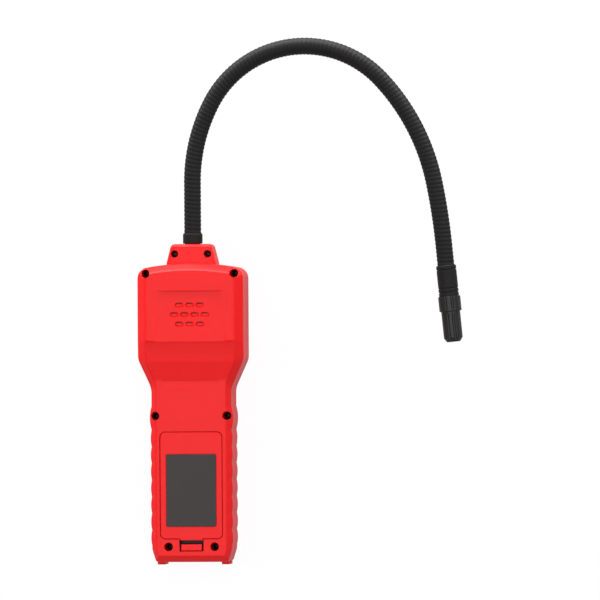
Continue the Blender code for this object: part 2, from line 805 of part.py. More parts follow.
def pad_cutter():
    """The shallow field round the sound outlet, with sloping sides and cut upper corners."""
    bm = bmesh.new()
    rings = []
    for depth, grow in ((PAD_DEPTH, 0.0), (-PAD_DEPTH, 2.0)):
        half = PAD_WIDTH / 2 - PAD_SIDE_RUN + grow * PAD_SIDE_RUN
        top = PAD_TOP + grow * PAD_DEPTH / 3
        low = PAD_TOP - PAD_LENGTH
        points = (
            (-half, low), (half, low), (half, top - PAD_CORNER), (half - PAD_CORNER, top),
            (-half + PAD_CORNER, top), (-half, top - PAD_CORNER),
        )
        rings.append([bm.verts.new((x, y, HEAD_DEPTH - depth)) for x, y in points])
    bm.faces.new(rings[0])
    bm.faces.new(rings[1])
    for i in range(6):
        j = (i + 1) % 6
        bm.faces.new((rings[0][i], rings[0][j], rings[1][j], rings[1][i]))
    return mesh_of(bm)


def louvre_places():
    rows = len(LOUVRE_ROWS)
    for row, count in enumerate(LOUVRE_ROWS):
        y = SPEAKER_Y + ((rows - 1) / 2 - row) * LOUVRE_PITCH_Y
        for i in range(count):
            yield (i - (count - 1) / 2) * LOUVRE_PITCH_X, y


def louvre_hollow(x, y):
    """The rounded dish of one louvre."""
    floor = HEAD_DEPTH - PAD_DEPTH - LOUVRE_DEPTH
    half_x, half_y = LOUVRE_WIDTH / 2, LOUVRE_HEIGHT / 2
    points = rounded_rectangle(x - half_x, y - half_y, x + half_x, y + half_y, half_y * 0.9, 2)
    return plate(points, floor, HEAD_DEPTH)


def louvre_slit(x, y):
    """The narrow way to the inside under the upper edge of one louvre."""
    half_x = LOUVRE_WIDTH / 2 - LOUVRE_HEIGHT / 3
    top = y + LOUVRE_HEIGHT / 2 - LOUVRE_SLIT / 3
    field = HEAD_DEPTH - PAD_DEPTH
    return box(
        (x - half_x, top - LOUVRE_SLIT, field - 2 * WALL), (x + half_x, top, field - LOUVRE_DEPTH / 2),
    )


def latch_rows():
    """The y places of the snap tab: door foot, tab foot, slot, lip and notch end."""
    tab_foot = DOOR_START - TAB_REACH
    lip_top = tab_foot - LATCH_SLOT
    lip_foot = lip_top - LATCH_LIP
    return tab_foot, lip_top, lip_foot, lip_foot - NOTCH_MARGIN


def make_rear_case():
    case = part("rear_case", rear_body(0.0, REAR_FLOOR, 1.0), red)
    mirror(case)
    fuse(case, collar_solid(True), "collar")
    fuse(case, feet(SEAM_HEIGHT + FOOT_ABOVE_SEAM, REAR_FOOT_TOP), "feet")

    core = tool_shape("rear_core", rear_body(WALL, REAR_FLOOR - 0.002, None))
    mirror(core)
    low, high = 0.0, REACH
    keep = bosses(CASE_SCREWS, BOSS_DIAMETER / 2, low, high)
    boolean(core, gathered(keep), "DIFFERENCE", "bosses")
    bay = frame_plate(bay_rectangle(BAY_WALL), bay_rectangle(), low, high)
    boolean(core, bay, "DIFFERENCE", "bay_walls")
    rim = DOOR_WIDTH / 2 + SEAT_RIM
    mouth = (*bay_rectangle()[:3], min(BAY_END, DOOR_END - SEAT_RIM))
    flange = frame_plate(
        (-rim, DOOR_START - 0.7 * SEAT_RIM, rim, max(DOOR_END, BAY_END) + SEAT_RIM), mouth,
        SEAT_Z - WALL, high,
    )
    boolean(core, flange, "DIFFERENCE", "door_seat_flange")
    tab_foot, _, _, notch_end = latch_rows()
    half_notch = TAB_WIDTH / 2 + CLEARANCE
    latch_pad = box(
        (-half_notch - WALL / 2, notch_end - WALL / 2, DOOR_TOP - LATCH_DEPTH - WALL),
        (half_notch + WALL / 2, BAY_START - BAY_WALL / 2, high),
    )
    boolean(core, latch_pad, "DIFFERENCE", "latch_pad")
    ring_low = HEAD_DEPTH - WALL - SPEAKER_RING_DEPTH
    inner = SPEAKER_DIAMETER / 2 + CLEARANCE
    ring = tube(inner + SPEAKER_RING_WALL, inner, (0, SPEAKER_Y, ring_low), (0, SPEAKER_Y, high), 24)
    boolean(core, ring, "DIFFERENCE", "speaker_ring")
    speaker_pad = box(
        (-PAD_WIDTH / 3, SPEAKER_Y - 1.9 * LOUVRE_PITCH_Y, HEAD_DEPTH - WALL - PAD_DEPTH),
        (PAD_WIDTH / 3, SPEAKER_Y + 1.9 * LOUVRE_PITCH_Y, high),
    )
    boolean(core, speaker_pad, "DIFFERENCE", "speaker_pad")
    block = box(
        (-COLLAR_BASE_WIDTH / 2, CROWN_Y - COLLAR_ROOT, low),
        (COLLAR_BASE_WIDTH / 2, CROWN_Y, REAR_FLOOR + COLLAR_DEPTH / 2),
    )
    boolean(core, block, "DIFFERENCE", "collar_block")

    modifier = case.modifiers.new("hollow", "BOOLEAN")
    modifier.operation = "DIFFERENCE"
    modifier.object = core

    spigot, pocket = neck_bores()
    cut(case, spigot, "neck_bore")
    cut(case, pocket, "retainer_pocket")
    cut_screw_wells(case, CASE_SCREWS, WELL_DIAMETER, SCREW_SHANK_DIAMETER, SCREW_SEAT_ABOVE_SEAM, "case")
    cut_screw_wells(
        case, (("collar", COLLAR_SCREW),), COLLAR_WELL_DIAMETER, COLLAR_SHANK_DIAMETER,
        COLLAR_SEAT_ABOVE_SEAM, "collar",
    )
    cut_door_seat(case)
    cut(case, pad_cutter(), "sound_field")
    cut(case, gathered([louvre_hollow(x, y) for x, y in louvre_places()]), "louvres")
    cut(case, gathered([louvre_slit(x, y) for x, y in louvre_places()]), "louvre_slits")
    return case


def cut_screw_wells(case, screws, well, shank, seat_above_seam, name):
    seat = SEAM_HEIGHT + seat_above_seam
    cut(case, gathered(bosses(screws, well / 2, seat, REACH)), f"{name}_wells")
    cut(case, gathered(bosses(screws, shank / 2 + CLEARANCE, 0.0, seat + 0.001)), f"{name}_holes")


def cut_door_seat(case):
    """The stepped opening of the battery bay, the latch notch and the pockets for the door's lugs."""
    gap = CLEARANCE
    seat = rounded_rectangle(
        -DOOR_WIDTH / 2 - gap, DOOR_START - gap, DOOR_WIDTH / 2 + gap, DOOR_END + gap,
        DOOR_CORNER_RADIUS + gap,
    )
    cut(case, plate(seat, SEAT_Z, REACH), "door_seat")
    x, y, far_x, _ = bay_rectangle()
    mouth_end = min(BAY_END, DOOR_END - SEAT_RIM)
    cut(case, box((x, y, SEAT_Z - 2 * WALL), (far_x, mouth_end, REACH)), "bay_mouth")
    tab_foot, _, _, notch_end = latch_rows()
    half = TAB_WIDTH / 2 + gap
    notch = box((-half, notch_end, DOOR_TOP - LATCH_DEPTH), (half, DOOR_START + WALL, REACH))
    cut(case, notch, "latch_notch")
    lug = LUG_WIDTH / 2 + gap
    pockets = [
        box(
            (side * LUG_SPREAD - lug, BAY_END - 2 * WALL, DOOR_TOP - WALL - 2 * LUG_THICKNESS - gap),
            (side * LUG_SPREAD + lug, DOOR_END + LUG_REACH + gap, DOOR_TOP - WALL + gap / 3),
        )
        for _, side in SIDES
    ]
    cut(case, gathered(pockets), "lug_pockets")


def make_front_case():
    case = part("front_case", front_body(0.0, FRONT_CEILING, 1.0), red)
    mirror(case)
    fuse(case, collar_solid(False), "collar")
    fuse(case, feet(FRONT_FOOT_FLOOR, SEAM_HEIGHT - FOOT_ABOVE_SEAM), "feet")

    core = tool_shape("front_core", front_body(WALL, FRONT_CEILING + 0.002, None))
    mirror(core)
    low, high = -REACH, REACH
    boolean(core, gathered(bosses(CASE_SCREWS, BOSS_DIAMETER / 2, low, high)), "DIFFERENCE", "bosses")
    bay = frame_plate(bay_rectangle(BAY_WALL), bay_rectangle(), low, high)
    boolean(core, bay, "DIFFERENCE", "bay_walls")
    margin = 0.0015
    backing = box(
        (-TRAY_WIDTH / 2 - margin, TRAY_START - margin, low),
        (TRAY_WIDTH / 2 + margin, TRAY_START + TRAY_LENGTH + margin, TRAY_INNER),
    )
    boolean(core, backing, "DIFFERENCE", "tray_backing")
    boolean(core, gathered([post(x, y) for x, y in post_places()]), "DIFFERENCE", "board_posts")
    block = box(
        (-COLLAR_BASE_WIDTH / 2, CROWN_Y - COLLAR_ROOT, FRONT_CEILING - COLLAR_DEPTH / 2),
        (COLLAR_BASE_WIDTH / 2, CROWN_Y, high),
    )
    boolean(core, block, "DIFFERENCE", "collar_block")

    modifier = case.modifiers.new("hollow", "BOOLEAN")
    modifier.operation = "DIFFERENCE"
    modifier.object = core

    spigot, pocket = neck_bores()
    cut(case, spigot, "neck_bore")
    cut(case, pocket, "retainer_pocket")
    cut_pilot_holes(case, CASE_SCREWS, SCREW_SHANK_DIAMETER, SCREW_SEAT_ABOVE_SEAM - SCREW_LENGTH, "case")
    cut_pilot_holes(
        case, (("collar", COLLAR_SCREW),), COLLAR_SHANK_DIAMETER,
        COLLAR_SEAT_ABOVE_SEAM - COLLAR_SCREW_LENGTH, "collar",
    )
    tray = rounded_rectangle(
        -TRAY_WIDTH / 2, TRAY_START, TRAY_WIDTH / 2, TRAY_START + TRAY_LENGTH, TRAY_RADIUS,
    )
    cut(case, plate(tray, -REACH, TRAY_DEPTH), "control_tray")
    holes = [key_outline(x, y, CLEARANCE) for _, x, y in key_places()]
    holes.append(rectangle_at(0.0, WINDOW_Y, WINDOW_WIDTH, WINDOW_HEIGHT, CLEARANCE))
    cut(case, gathered([plate(hole, 0.0, TRAY_INNER + WALL) for hole in holes]), "control_holes")
    return case


def cut_pilot_holes(case, screws, shank, depth, name):
    bottom = SEAM_HEIGHT + depth - 2 * CLEARANCE
    cut(case, gathered(bosses(screws, shank / 2 + CLEARANCE, bottom, REACH)), f"{name}_pilot_holes")


def post_places():
    x = BOARD_WIDTH / 2 - POST_INSET
    for y in (BOARD_START + POST_INSET, BOARD_START + BOARD_LENGTH - POST_INSET):
        yield -x, y
        yield x, y


def post(x, y):
    """A board post with the stepped pin that passes through the board."""
    shoulder = BOARD_HEIGHT - CLEARANCE
    tip = BOARD_TOP + POST_PIN_LENGTH - BOARD_THICKNESS
    radius, pin = POST_DIAMETER / 2, POST_PIN_DIAMETER / 2
    profile = [(0, 0), (radius, 0), (radius, shoulder), (pin, shoulder), (pin, tip), (0, tip)]
    return stand(turned(profile, HOLE_SIDES), (x, y, 0.0), (0, 0, 1))


def rectangle_at(x, y, width, height, margin=0.0, radius=0.001):
    half_x, half_y = width / 2 + margin, height / 2 + margin
    return rounded_rectangle(x - half_x, y - half_y, x + half_x, y + half_y, radius + margin, 3)


def key_places():
    names = (("minus_key", -1, 0), ("plus_key", 1, 0), ("power_key", -1, 1), ("mute_key", 1, 1))
    for name, side, row in names:
        yield name, side * KEY_SPREAD, KEY_LOW_Y + row * KEY_PITCH_Y


def key_outline(x, y, margin):
    return rectangle_at(x, y, KEY_WIDTH, KEY_HEIGHT, margin, KEY_RADIUS)


def make_keys():
    """Four keys that stand in the tray's holes, each held by its flange behind the wall."""
    for name, x, y in key_places():
        face = TRAY_DEPTH - KEY_RISE
        mesh = plate(key_outline(x, y, 0.0), face, FLANGE_START + FLANGE_THICKNESS / 2)
        key = part(name, mesh, key_grey, (x, y, face))
        flange = plate(key_outline(x, y, FLANGE_MARGIN), FLANGE_START, FLANGE_START + FLANGE_THICKNESS)
        fuse(key, flange, "flange")


def make_window():
    face = TRAY_DEPTH - WINDOW_RISE
    outline = rectangle_at(0.0, WINDOW_Y, WINDOW_WIDTH, WINDOW_HEIGHT)
    window = part("level_window", plate(outline, face, FLANGE_START + FLANGE_THICKNESS / 2), smoked)
    flange = rectangle_at(0.0, WINDOW_Y, WINDOW_WIDTH, WINDOW_HEIGHT, FLANGE_MARGIN)
    fuse(window, plate(flange, FLANGE_START, FLANGE_START + FLANGE_THICKNESS), "flange")


def make_board():
    """The board with its stake holes, a row of indicator lamps and the main chips."""
    half = BOARD_WIDTH / 2
    points = rounded_rectangle(-half, BOARD_START, half, BOARD_START + BOARD_LENGTH, 0.002, 3)
    board = part("main_board", plate(points, BOARD_HEIGHT, BOARD_TOP), board_green)
    hole = POST_PIN_DIAMETER / 2 + CLEARANCE
    cut(board, gathered([
        cylinder(hole, (x, y, 0), (x, y, REACH)) for x, y in post_places()
    ]), "stake_holes")
    lamps = 7
    pitch = (WINDOW_WIDTH - 0.003) / lamps
    lamp_low = FLANGE_START + FLANGE_THICKNESS + CLEARANCE
    fuse(board, gathered([
        cylinder(0.0013, ((i - (lamps - 1) / 2) * pitch, WINDOW_Y, lamp_low),
                 ((i - (lamps - 1) / 2) * pitch, WINDOW_Y, BOARD_HEIGHT + BOARD_THICKNESS / 2), 8)
        for i in range(lamps)
    ]), "indicator_lamps")
    fuse(board, gathered([
        box(
            (x - w / 2, BOARD_START + y - h / 2, BOARD_TOP - CHIP_HEIGHT / 2),
            (x + w / 2, BOARD_START + y + h / 2, BOARD_TOP + CHIP_HEIGHT),
        )
        for x, y, w, h in CHIPS
    ]), "chips")


def make_switches():
    """Tact switches under the keys; each plunger waits one key travel and a clearance away."""
    for name, x, y in key_places():
        half = SWITCH_SIZE / 2
        plunger_tip = FLANGE_START + FLANGE_THICKNESS + KEY_TRAVEL + CLEARANCE
        body_low = plunger_tip + CLEARANCE + KEY_TRAVEL / 2
        switch = part(
            name.replace("key", "switch"),
            box((x - half, y - half, body_low), (x + half, y + half, BOARD_HEIGHT - CLEARANCE)),
            black_plastic, (x, y, BOARD_HEIGHT),
        )
        fuse(switch, cylinder(SWITCH_PLUNGER / 2, (x, y, plunger_tip), (x, y, body_low + 0.001)), "plunger")


def make_speaker():
    top = HEAD_DEPTH - WALL - PAD_DEPTH - CLEARANCE
    radius = SPEAKER_DIAMETER / 2
    magnet = radius * 0.55
    step = SPEAKER_THICKNESS * 0.45
    profile = [
        (0, 0), (magnet, 0), (magnet, step), (radius * 0.8, step), (radius, SPEAKER_THICKNESS * 0.7),
        (radius, SPEAKER_THICKNESS), (0, SPEAKER_THICKNESS),
    ]
    mesh = stand(turned(profile, 24), (0, SPEAKER_Y, top - SPEAKER_THICKNESS), (0, 0, 1))
    part("speaker", mesh, black_plastic, (0, SPEAKER_Y, top))


def make_screws():
    for name, (x, y) in CASE_SCREWS:
        for side_name, side in SIDES:
            make_screw(
                f"{name}_screw_{side_name}", side * x, y, SCREW_SEAT_ABOVE_SEAM, SCREW_HEAD_DIAMETER,
                SCREW_HEAD_HEIGHT, SCREW_SHANK_DIAMETER, SCREW_LENGTH,
            )
    x, y = COLLAR_SCREW
    for side_name, side in SIDES:
        make_screw(
            f"collar_screw_{side_name}", side * x, y, COLLAR_SEAT_ABOVE_SEAM, COLLAR_HEAD_DIAMETER,
            COLLAR_HEAD_HEIGHT, COLLAR_SHANK_DIAMETER, COLLAR_SCREW_LENGTH,
        )


def make_screw(name, x, y, seat_above_seam, head, head_height, shank, length):
    """A pan-head screw with a cross recess, its head a clearance above the seat."""
    seat = SEAM_HEIGHT + seat_above_seam + CLEARANCE
    radius, tip = head / 2, shank / 2
    profile = [
        (0, -length), (tip * 0.5, -length), (tip, -length + tip), (tip, 0), (radius, 0),
        (radius, head_height * 0.55), (radius * 0.72, head_height), (0, head_height),
    ]
    mesh = stand(turned(profile, HOLE_SIDES), (x, y, seat), (0, 0, 1))
    screw = part(name, mesh, steel, (x, y, seat))
    slot, deep = head * 0.30, head * 0.09
    top = seat + head_height
    for i, (a, b) in enumerate(((slot, deep), (deep, slot))):
        cut(screw, box((x - a, y - b, top - head_height / 2), (x + a, y + b, top + WALL)), f"cross_{i}")


def make_cells():
    for layer, z in (("lower", CELL_LOW_Z), ("upper", CELL_HIGH_Z)):
        for side_name, side in SIDES:
            radius, nub = CELL_DIAMETER / 2, CELL_NUB_DIAMETER / 2
            edge = 0.0006
            profile = [
                (0, 0), (radius - edge, 0), (radius, edge), (radius, CELL_LENGTH - edge),
                (radius - edge, CELL_LENGTH), (nub, CELL_LENGTH), (nub, CELL_LENGTH + CELL_NUB_LENGTH),
                (0, CELL_LENGTH + CELL_NUB_LENGTH),
            ]
            start, along = (CELL_START, 1) if side < 0 else (CELL_END, -1)
            mesh = stand(turned(profile, 16), (side * CELL_X, start, z), (0, along, 0))
            part(f"cell_{layer}_{side_name}", mesh, cell_jacket, (side * CELL_X, start, z))


def coil(x, z, start, direction):
    """A conical contact spring along Y as one closed wire."""
    curve = bpy.data.curves.new("coil", "CURVE")
    curve.dimensions = "3D"
    curve.bevel_depth = SPRING_WIRE / 2
    curve.bevel_resolution = 0
    curve.use_fill_caps = True
    per_turn = 7
    count = SPRING_TURNS * per_turn + 1
    spline = curve.splines.new("POLY")
    spline.points.add(count - 1)
    for i, point in enumerate(spline.points):
        share = i / (count - 1)
        turn = 2 * math.pi * i / per_turn
        radius = SPRING_BASE_RADIUS + (SPRING_TIP_RADIUS - SPRING_BASE_RADIUS) * share
        rise = direction * (SPRING_LENGTH - SPRING_WIRE) * share
        point.co = (x + radius * math.cos(turn), start + rise, z + radius * math.sin(turn), 1.0)
    guide = bpy.data.objects.new("coil", curve)
    CUTTERS.objects.link(guide)
    mesh = bpy.data.meshes.new_from_object(guide.evaluated_get(bpy.context.evaluated_depsgraph_get()))
    bpy.data.objects.remove(guide)
    bpy.data.curves.remove(curve)
    bm = bmesh.new()
    bm.from_mesh(mesh)
    bpy.data.meshes.remove(mesh)
    bmesh.ops.remove_doubles(bm, verts=bm.verts, dist=1e-6)
    return mesh_of(bm)


def make_contacts():
    """Sprung plates meet the flat ends of the cells, plain dimpled plates meet their nubs."""
    half = CELL_DIAMETER / 2 - CLEARANCE
    low, high = CELL_LOW_Z - half, CELL_HIGH_Z + half - 0.002
    ends = (
        ("foot", BAY_START + CLEARANCE, 1), ("head", BAY_END - CLEARANCE, -1),
    )
    for end_name, wall_y, direction in ends:
        for side_name, side in SIDES:
            x = side * CELL_X
            sprung = (direction > 0) == (side < 0)
            inner = wall_y + direction * CONTACT_THICKNESS
            mesh = box((x - half, min(wall_y, inner), low), (x + half, max(wall_y, inner), high))
            contact = part(f"contact_{end_name}_{side_name}", mesh, nickel, (x, wall_y, CELL_LOW_Z))
            for i, z in enumerate((CELL_LOW_Z, CELL_HIGH_Z)):
                if sprung:
                    fuse(contact, coil(x, z, inner, direction), f"spring_{i}")
                else:
                    reach = SPRING_LENGTH
                    dimple = cylinder(
                        CELL_NUB_DIAMETER / 2, (x, inner - direction * CONTACT_THICKNESS / 2, z),
                        (x, inner + direction * reach, z), HOLE_SIDES, CELL_NUB_DIAMETER / 3,
                    )
                    fuse(contact, dimple, f"dimple_{i}")


def make_door():
    """The battery door with its snap tab, its top lugs and a seat for the blank panel."""
    hinge = (0.0, DOOR_END + CLEARANCE / 2, DOOR_TOP)
    half = DOOR_WIDTH / 2
    outline = rounded_rectangle(-half, DOOR_START, half, DOOR_END, DOOR_CORNER_RADIUS)
    door = part("battery_door", plate(outline, DOOR_UNDERSIDE, DOOR_TOP), red, hinge)
    tab_foot, lip_top, lip_foot, _ = latch_rows()
    tab = box((-TAB_WIDTH / 2, tab_foot, DOOR_UNDERSIDE), (TAB_WIDTH / 2, DOOR_START + WALL, DOOR_TOP))
    floor = DOOR_TOP - LATCH_DEPTH + CLEARANCE
    web = LATCH_WEB
    leg = tab_foot + web / 3
    latch_profile = (
        (leg + web, DOOR_UNDERSIDE + web / 2), (leg, DOOR_UNDERSIDE + web / 2), (leg, floor + web),
        (lip_top, floor + web), (lip_top, DOOR_TOP), (lip_foot + web / 2, DOOR_TOP),
        (lip_foot, DOOR_TOP - web / 2), (lip_foot, floor), (leg + web, floor),
    )
    fuse(door, tab, "tab")
    fuse(door, profile_plate(latch_profile, -LATCH_WIDTH / 2, LATCH_WIDTH / 2), "latch")
    lug_top = DOOR_TOP - WALL - CLEARANCE
    lugs = []
    for _, side in SIDES:
        x = side * LUG_SPREAD
        lug_profile = (
            (DOOR_END - WALL, lug_top - LUG_THICKNESS), (DOOR_END + LUG_REACH, lug_top - LUG_THICKNESS),
            (DOOR_END + LUG_REACH, lug_top), (DOOR_END - WALL / 4, lug_top),
            (DOOR_END - WALL / 4, DOOR_UNDERSIDE + web / 2), (DOOR_END - WALL, DOOR_UNDERSIDE + web / 2),
        )
        lugs.append(profile_plate(lug_profile, x - LUG_WIDTH / 2, x + LUG_WIDTH / 2))
    fuse(door, gathered(lugs), "lugs")
    ribs = [
        box(
            (x - 0.0005, BAY_START + 0.006, CELL_HIGH_Z + CELL_DIAMETER / 2 + CLEARANCE),
            (x + 0.0005, DOOR_END - 0.012, DOOR_UNDERSIDE + 0.0003),
        )
        for x in (-CELL_X, CELL_X)
    ]
    fuse(door, gathered(ribs), "cell_ribs")
    seat = label_outline(CLEARANCE)
    cut(door, plate(seat, label_floor(), REACH), "label_seat")

    label = plate(label_outline(0.0), label_floor() + CLEARANCE, label_floor() + CLEARANCE + LABEL_THICKNESS)
    part("rear_label", label, panel_grey, hinge, door)


def label_outline(margin):
    half = LABEL_WIDTH / 2 + margin
    end = LABEL_START + LABEL_LENGTH + margin
    return rounded_rectangle(-half, LABEL_START - margin, half, end, LABEL_CORNER, 2)


def label_floor():
    return DOOR_TOP + LABEL_PROUD - LABEL_THICKNESS - CLEARANCE


# Neck

NECK_LENGTH = sum(length for length, _ in NECK_STRETCHES)


def neck_at(s):
    """Point and direction of the neck's centreline at a distance s past the base ferrule."""
    point = Vector((0.0, NECK_START, SEAM_HEIGHT))
    heading = 0.0
    for length, turn in NECK_STRETCHES:
        step = min(s, length)
        if s < 0 or turn == 0.0:
            reach = min(s, length)
            point = point + reach * Vector((math.sin(heading), math.cos(heading), 0.0))
        else:
            radius = length / math.radians(turn)
            after = heading + step / radius
            point = point + radius * Vector((
                math.cos(heading) - math.cos(after), math.sin(after) - math.sin(heading), 0.0,
            ))
        heading += math.radians(turn) * step / length if s > 0 else 0.0
        s -= step
        if s <= 0:
            break
    else:
        point = point + s * Vector((math.sin(heading), math.cos(heading), 0.0))
    return point, Vector((math.sin(heading), math.cos(heading), 0.0))


def bend_places():
    """Distances along the neck of the places where it is cut so that it can bend."""
    return [NECK_LENGTH * (i + 0.5) / NECK_BENDS for i in range(NECK_BENDS)]


def neck_places(start, end):
    count = max(2, round((end - start) / NECK_STEP))
    return [start + (end - start) * i / count for i in range(count + 1)]


def ribbed_stations(start, end):
    count = max(1, round((end - start) / RIB_PITCH))
    pitch = (end - start) / count
    crest, valley = NECK_DIAMETER / 2, NECK_DIAMETER / 2 - RIB_DEPTH
    stations = []
    for i in range(count):
        stations += [(start + i * pitch, valley), (start + (i + 0.5) * pitch, crest)]
    return stations + [(end, valley)]


def make_neck():
    """Rigid lengths of neck with a short flexing length at each bend, chained from base to tip."""
    bore = NECK_DIAMETER / 2 - NECK_WALL
    half = FLEX_LENGTH / 2
    gap = CLEARANCE / 2
    start = -NECK_SEAT + CLEARANCE
    carrier, origin = None, neck_at(0.0)[0]
    for i, place in enumerate([*bend_places(), None]):
        end = NECK_LENGTH + NECK_SEAT - CLEARANCE if place is None else place - half - gap
        places = neck_places(start, end)
        mesh = swept([(s, NECK_DIAMETER / 2) for s in places], places, bore, NECK_SIDES, neck_at)
        carrier = part(f"neck_length_{i}", mesh, black_sheath, origin, carrier)
        if place is None:
            return carrier
        low, high = place - half + gap, place + half - gap
        flex = swept(ribbed_stations(low, high), neck_places(low, high), bore, NECK_SIDES, neck_at)
        origin = neck_at(place)[0]
        part(f"neck_flex_{i + 1}", flex, black_sheath, origin, carrier)
        start = place + half + gap


def make_base_ferrule():
    """Barrel outside the collar, spigot through it and a retaining flange behind it."""
    barrel, spigot, flange = BASE_BARREL_DIAMETER / 2, SPIGOT_DIAMETER / 2, RETAINER_DIAMETER / 2
    seat = NECK_DIAMETER / 2 + CLEARANCE
    wire = WIRE_BORE / 2
    edge = 0.0006
    foot_y = COLLAR_TOP_Y + CLEARANCE - RETAINER_Y
    top = NECK_START - RETAINER_Y
    profile = [
        (wire, 0), (flange, 0), (flange, RETAINER_THICKNESS), (spigot, RETAINER_THICKNESS), (spigot, foot_y),
        (barrel, foot_y), (barrel, top - edge), (barrel - edge, top), (seat, top), (seat, top - NECK_SEAT),
        (wire, top - NECK_SEAT), (wire, 0),
    ]
    mesh = stand(turned(profile), (0, RETAINER_Y, SEAM_HEIGHT), (0, 1, 0))
    part("neck_base_ferrule", mesh, black_plastic, (0, RETAINER_Y, SEAM_HEIGHT))


def make_tip(carrier):
    """Ferrule, sensor socket, sensor and cap at the free end of the neck."""
    start, along = neck_at(NECK_LENGTH)
    barrel = TIP_BARREL_DIAMETER / 2
    seat, socket = NECK_DIAMETER / 2 + CLEARANCE, SOCKET_DIAMETER / 2
    wire, edge, deep, wide = WIRE_BORE / 2, 0.0006, TIP_GROOVE_DEPTH, TIP_GROOVE_WIDTH
    length = TIP_BARREL_LENGTH
    socket_floor = length - SOCKET_SEATED - CLEARANCE
    profile = [(seat, 0), (barrel - edge, 0), (barrel, edge)]
    for place in (0.0026, length - 0.0046, length - 0.0022):
        profile += [
            (barrel, place - wide / 2), (barrel - deep, place - wide / 4), (barrel - deep, place + wide / 4),
            (barrel, place + wide / 2),
        ]
    profile += [
        (barrel, length), (socket + CLEARANCE, length), (socket + CLEARANCE, socket_floor),
        (wire, socket_floor), (wire, NECK_SEAT), (seat, NECK_SEAT), (seat, 0),
    ]
    part("tip_ferrule", stand(turned(profile), start, along), black_plastic, start, carrier)

    socket_start = start + (length - SOCKET_SEATED) * along
    profile = [(wire, 0), (socket, 0), (socket, SOCKET_LENGTH), (wire, SOCKET_LENGTH), (wire, 0)]
    part("sensor_socket", stand(turned(profile), socket_start, along), black_plastic, socket_start, carrier)

    sensor_start = socket_start + (SOCKET_LENGTH + CLEARANCE) * along
    radius = SENSOR_DIAMETER / 2
    profile = [
        (0, 0), (radius, 0), (radius, 0.0006), (radius - 0.0003, 0.0009),
        (radius - 0.0003, SENSOR_LENGTH - 0.0005), (radius - 0.0008, SENSOR_LENGTH), (0, SENSOR_LENGTH),
    ]
    part("sensor_element", stand(turned(profile), sensor_start, along), nickel, sensor_start, carrier)

    make_cap(start + (length + CLEARANCE) * along, along, carrier)


def make_cap(start, along, carrier):
    """The fluted sensor cap: a wide grip band, a barrel and a vented nose."""
    band, barrel, bore = CAP_BAND_DIAMETER / 2, CAP_DIAMETER / 2, CAP_BORE / 2
    nose, edge = CAP_NOSE_CHAMFER, 0.0005
    ceiling = CAP_LENGTH - CAP_NOSE_WALL
    profile = [
        (bore, 0), (band - edge, 0), (band, edge), (band, CAP_BAND_LENGTH - edge),
        (band - edge, CAP_BAND_LENGTH), (barrel, CAP_BAND_LENGTH), (barrel, CAP_LENGTH - nose),
        (barrel - 0.7 * nose, CAP_LENGTH), (0, CAP_LENGTH), (0, ceiling), (bore - 0.7 * nose, ceiling),
        (bore, ceiling - nose), (bore, 0),
    ]
    mesh = stand(turned(profile, 2 * CAP_FLUTES), start, along)
    cap = part("sensor_cap", mesh, black_plastic, start, carrier)
    across = along.cross(Vector((0, 0, 1)))
    up = Vector((0, 0, 1))
    flutes = []
    for reach, low, high in (
        (band, -edge, CAP_BAND_LENGTH - 3 * edge), (barrel, CAP_BAND_LENGTH + 3 * edge, CAP_LENGTH + edge),
    ):
        for i in range(CAP_FLUTES):
            turn = 2 * math.pi * (i + 0.5) / CAP_FLUTES
            offset = (reach + FLUTE_DIAMETER * 0.18) * (math.cos(turn) * across + math.sin(turn) * up)
            foot = start + offset
            flutes.append(cylinder(FLUTE_DIAMETER / 2, foot + low * along, foot + high * along, 8))
    cut(cap, gathered(flutes), "flutes")
    vents = []
    for i in range(6):
        turn = 2 * math.pi * i / 6
        offset = VENT_RING * (math.cos(turn) * across + math.sin(turn) * up)
        vents.append(offset)
    vents.append(Vector())
    low, high = CAP_LENGTH - 2 * CAP_NOSE_WALL, CAP_LENGTH + CAP_NOSE_WALL
    cut(cap, gathered([
        cylinder(VENT_DIAMETER / 2, start + offset + low * along, start + offset + high * along, 8)
        for offset in vents
    ]), "vents")


def main():
    make_rear_case()
    make_front_case()
    make_keys()
    make_window()
    make_board()
    make_switches()
    make_speaker()
    make_screws()
    make_cells()
    make_contacts()
    make_door()
    make_base_ferrule()
    make_tip(make_neck())


main()
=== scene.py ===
"""Refrigerant leak detector: the visual model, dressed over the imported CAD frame.

The tool lies on its front face. +Z leaves the rear face, +Y runs along the housing to the neck, and
+X is to the right in the photograph's view. Housing distances called "y" start at the butt end.
"""

import math

import bmesh
import bpy
from mathutils import Matrix, Vector


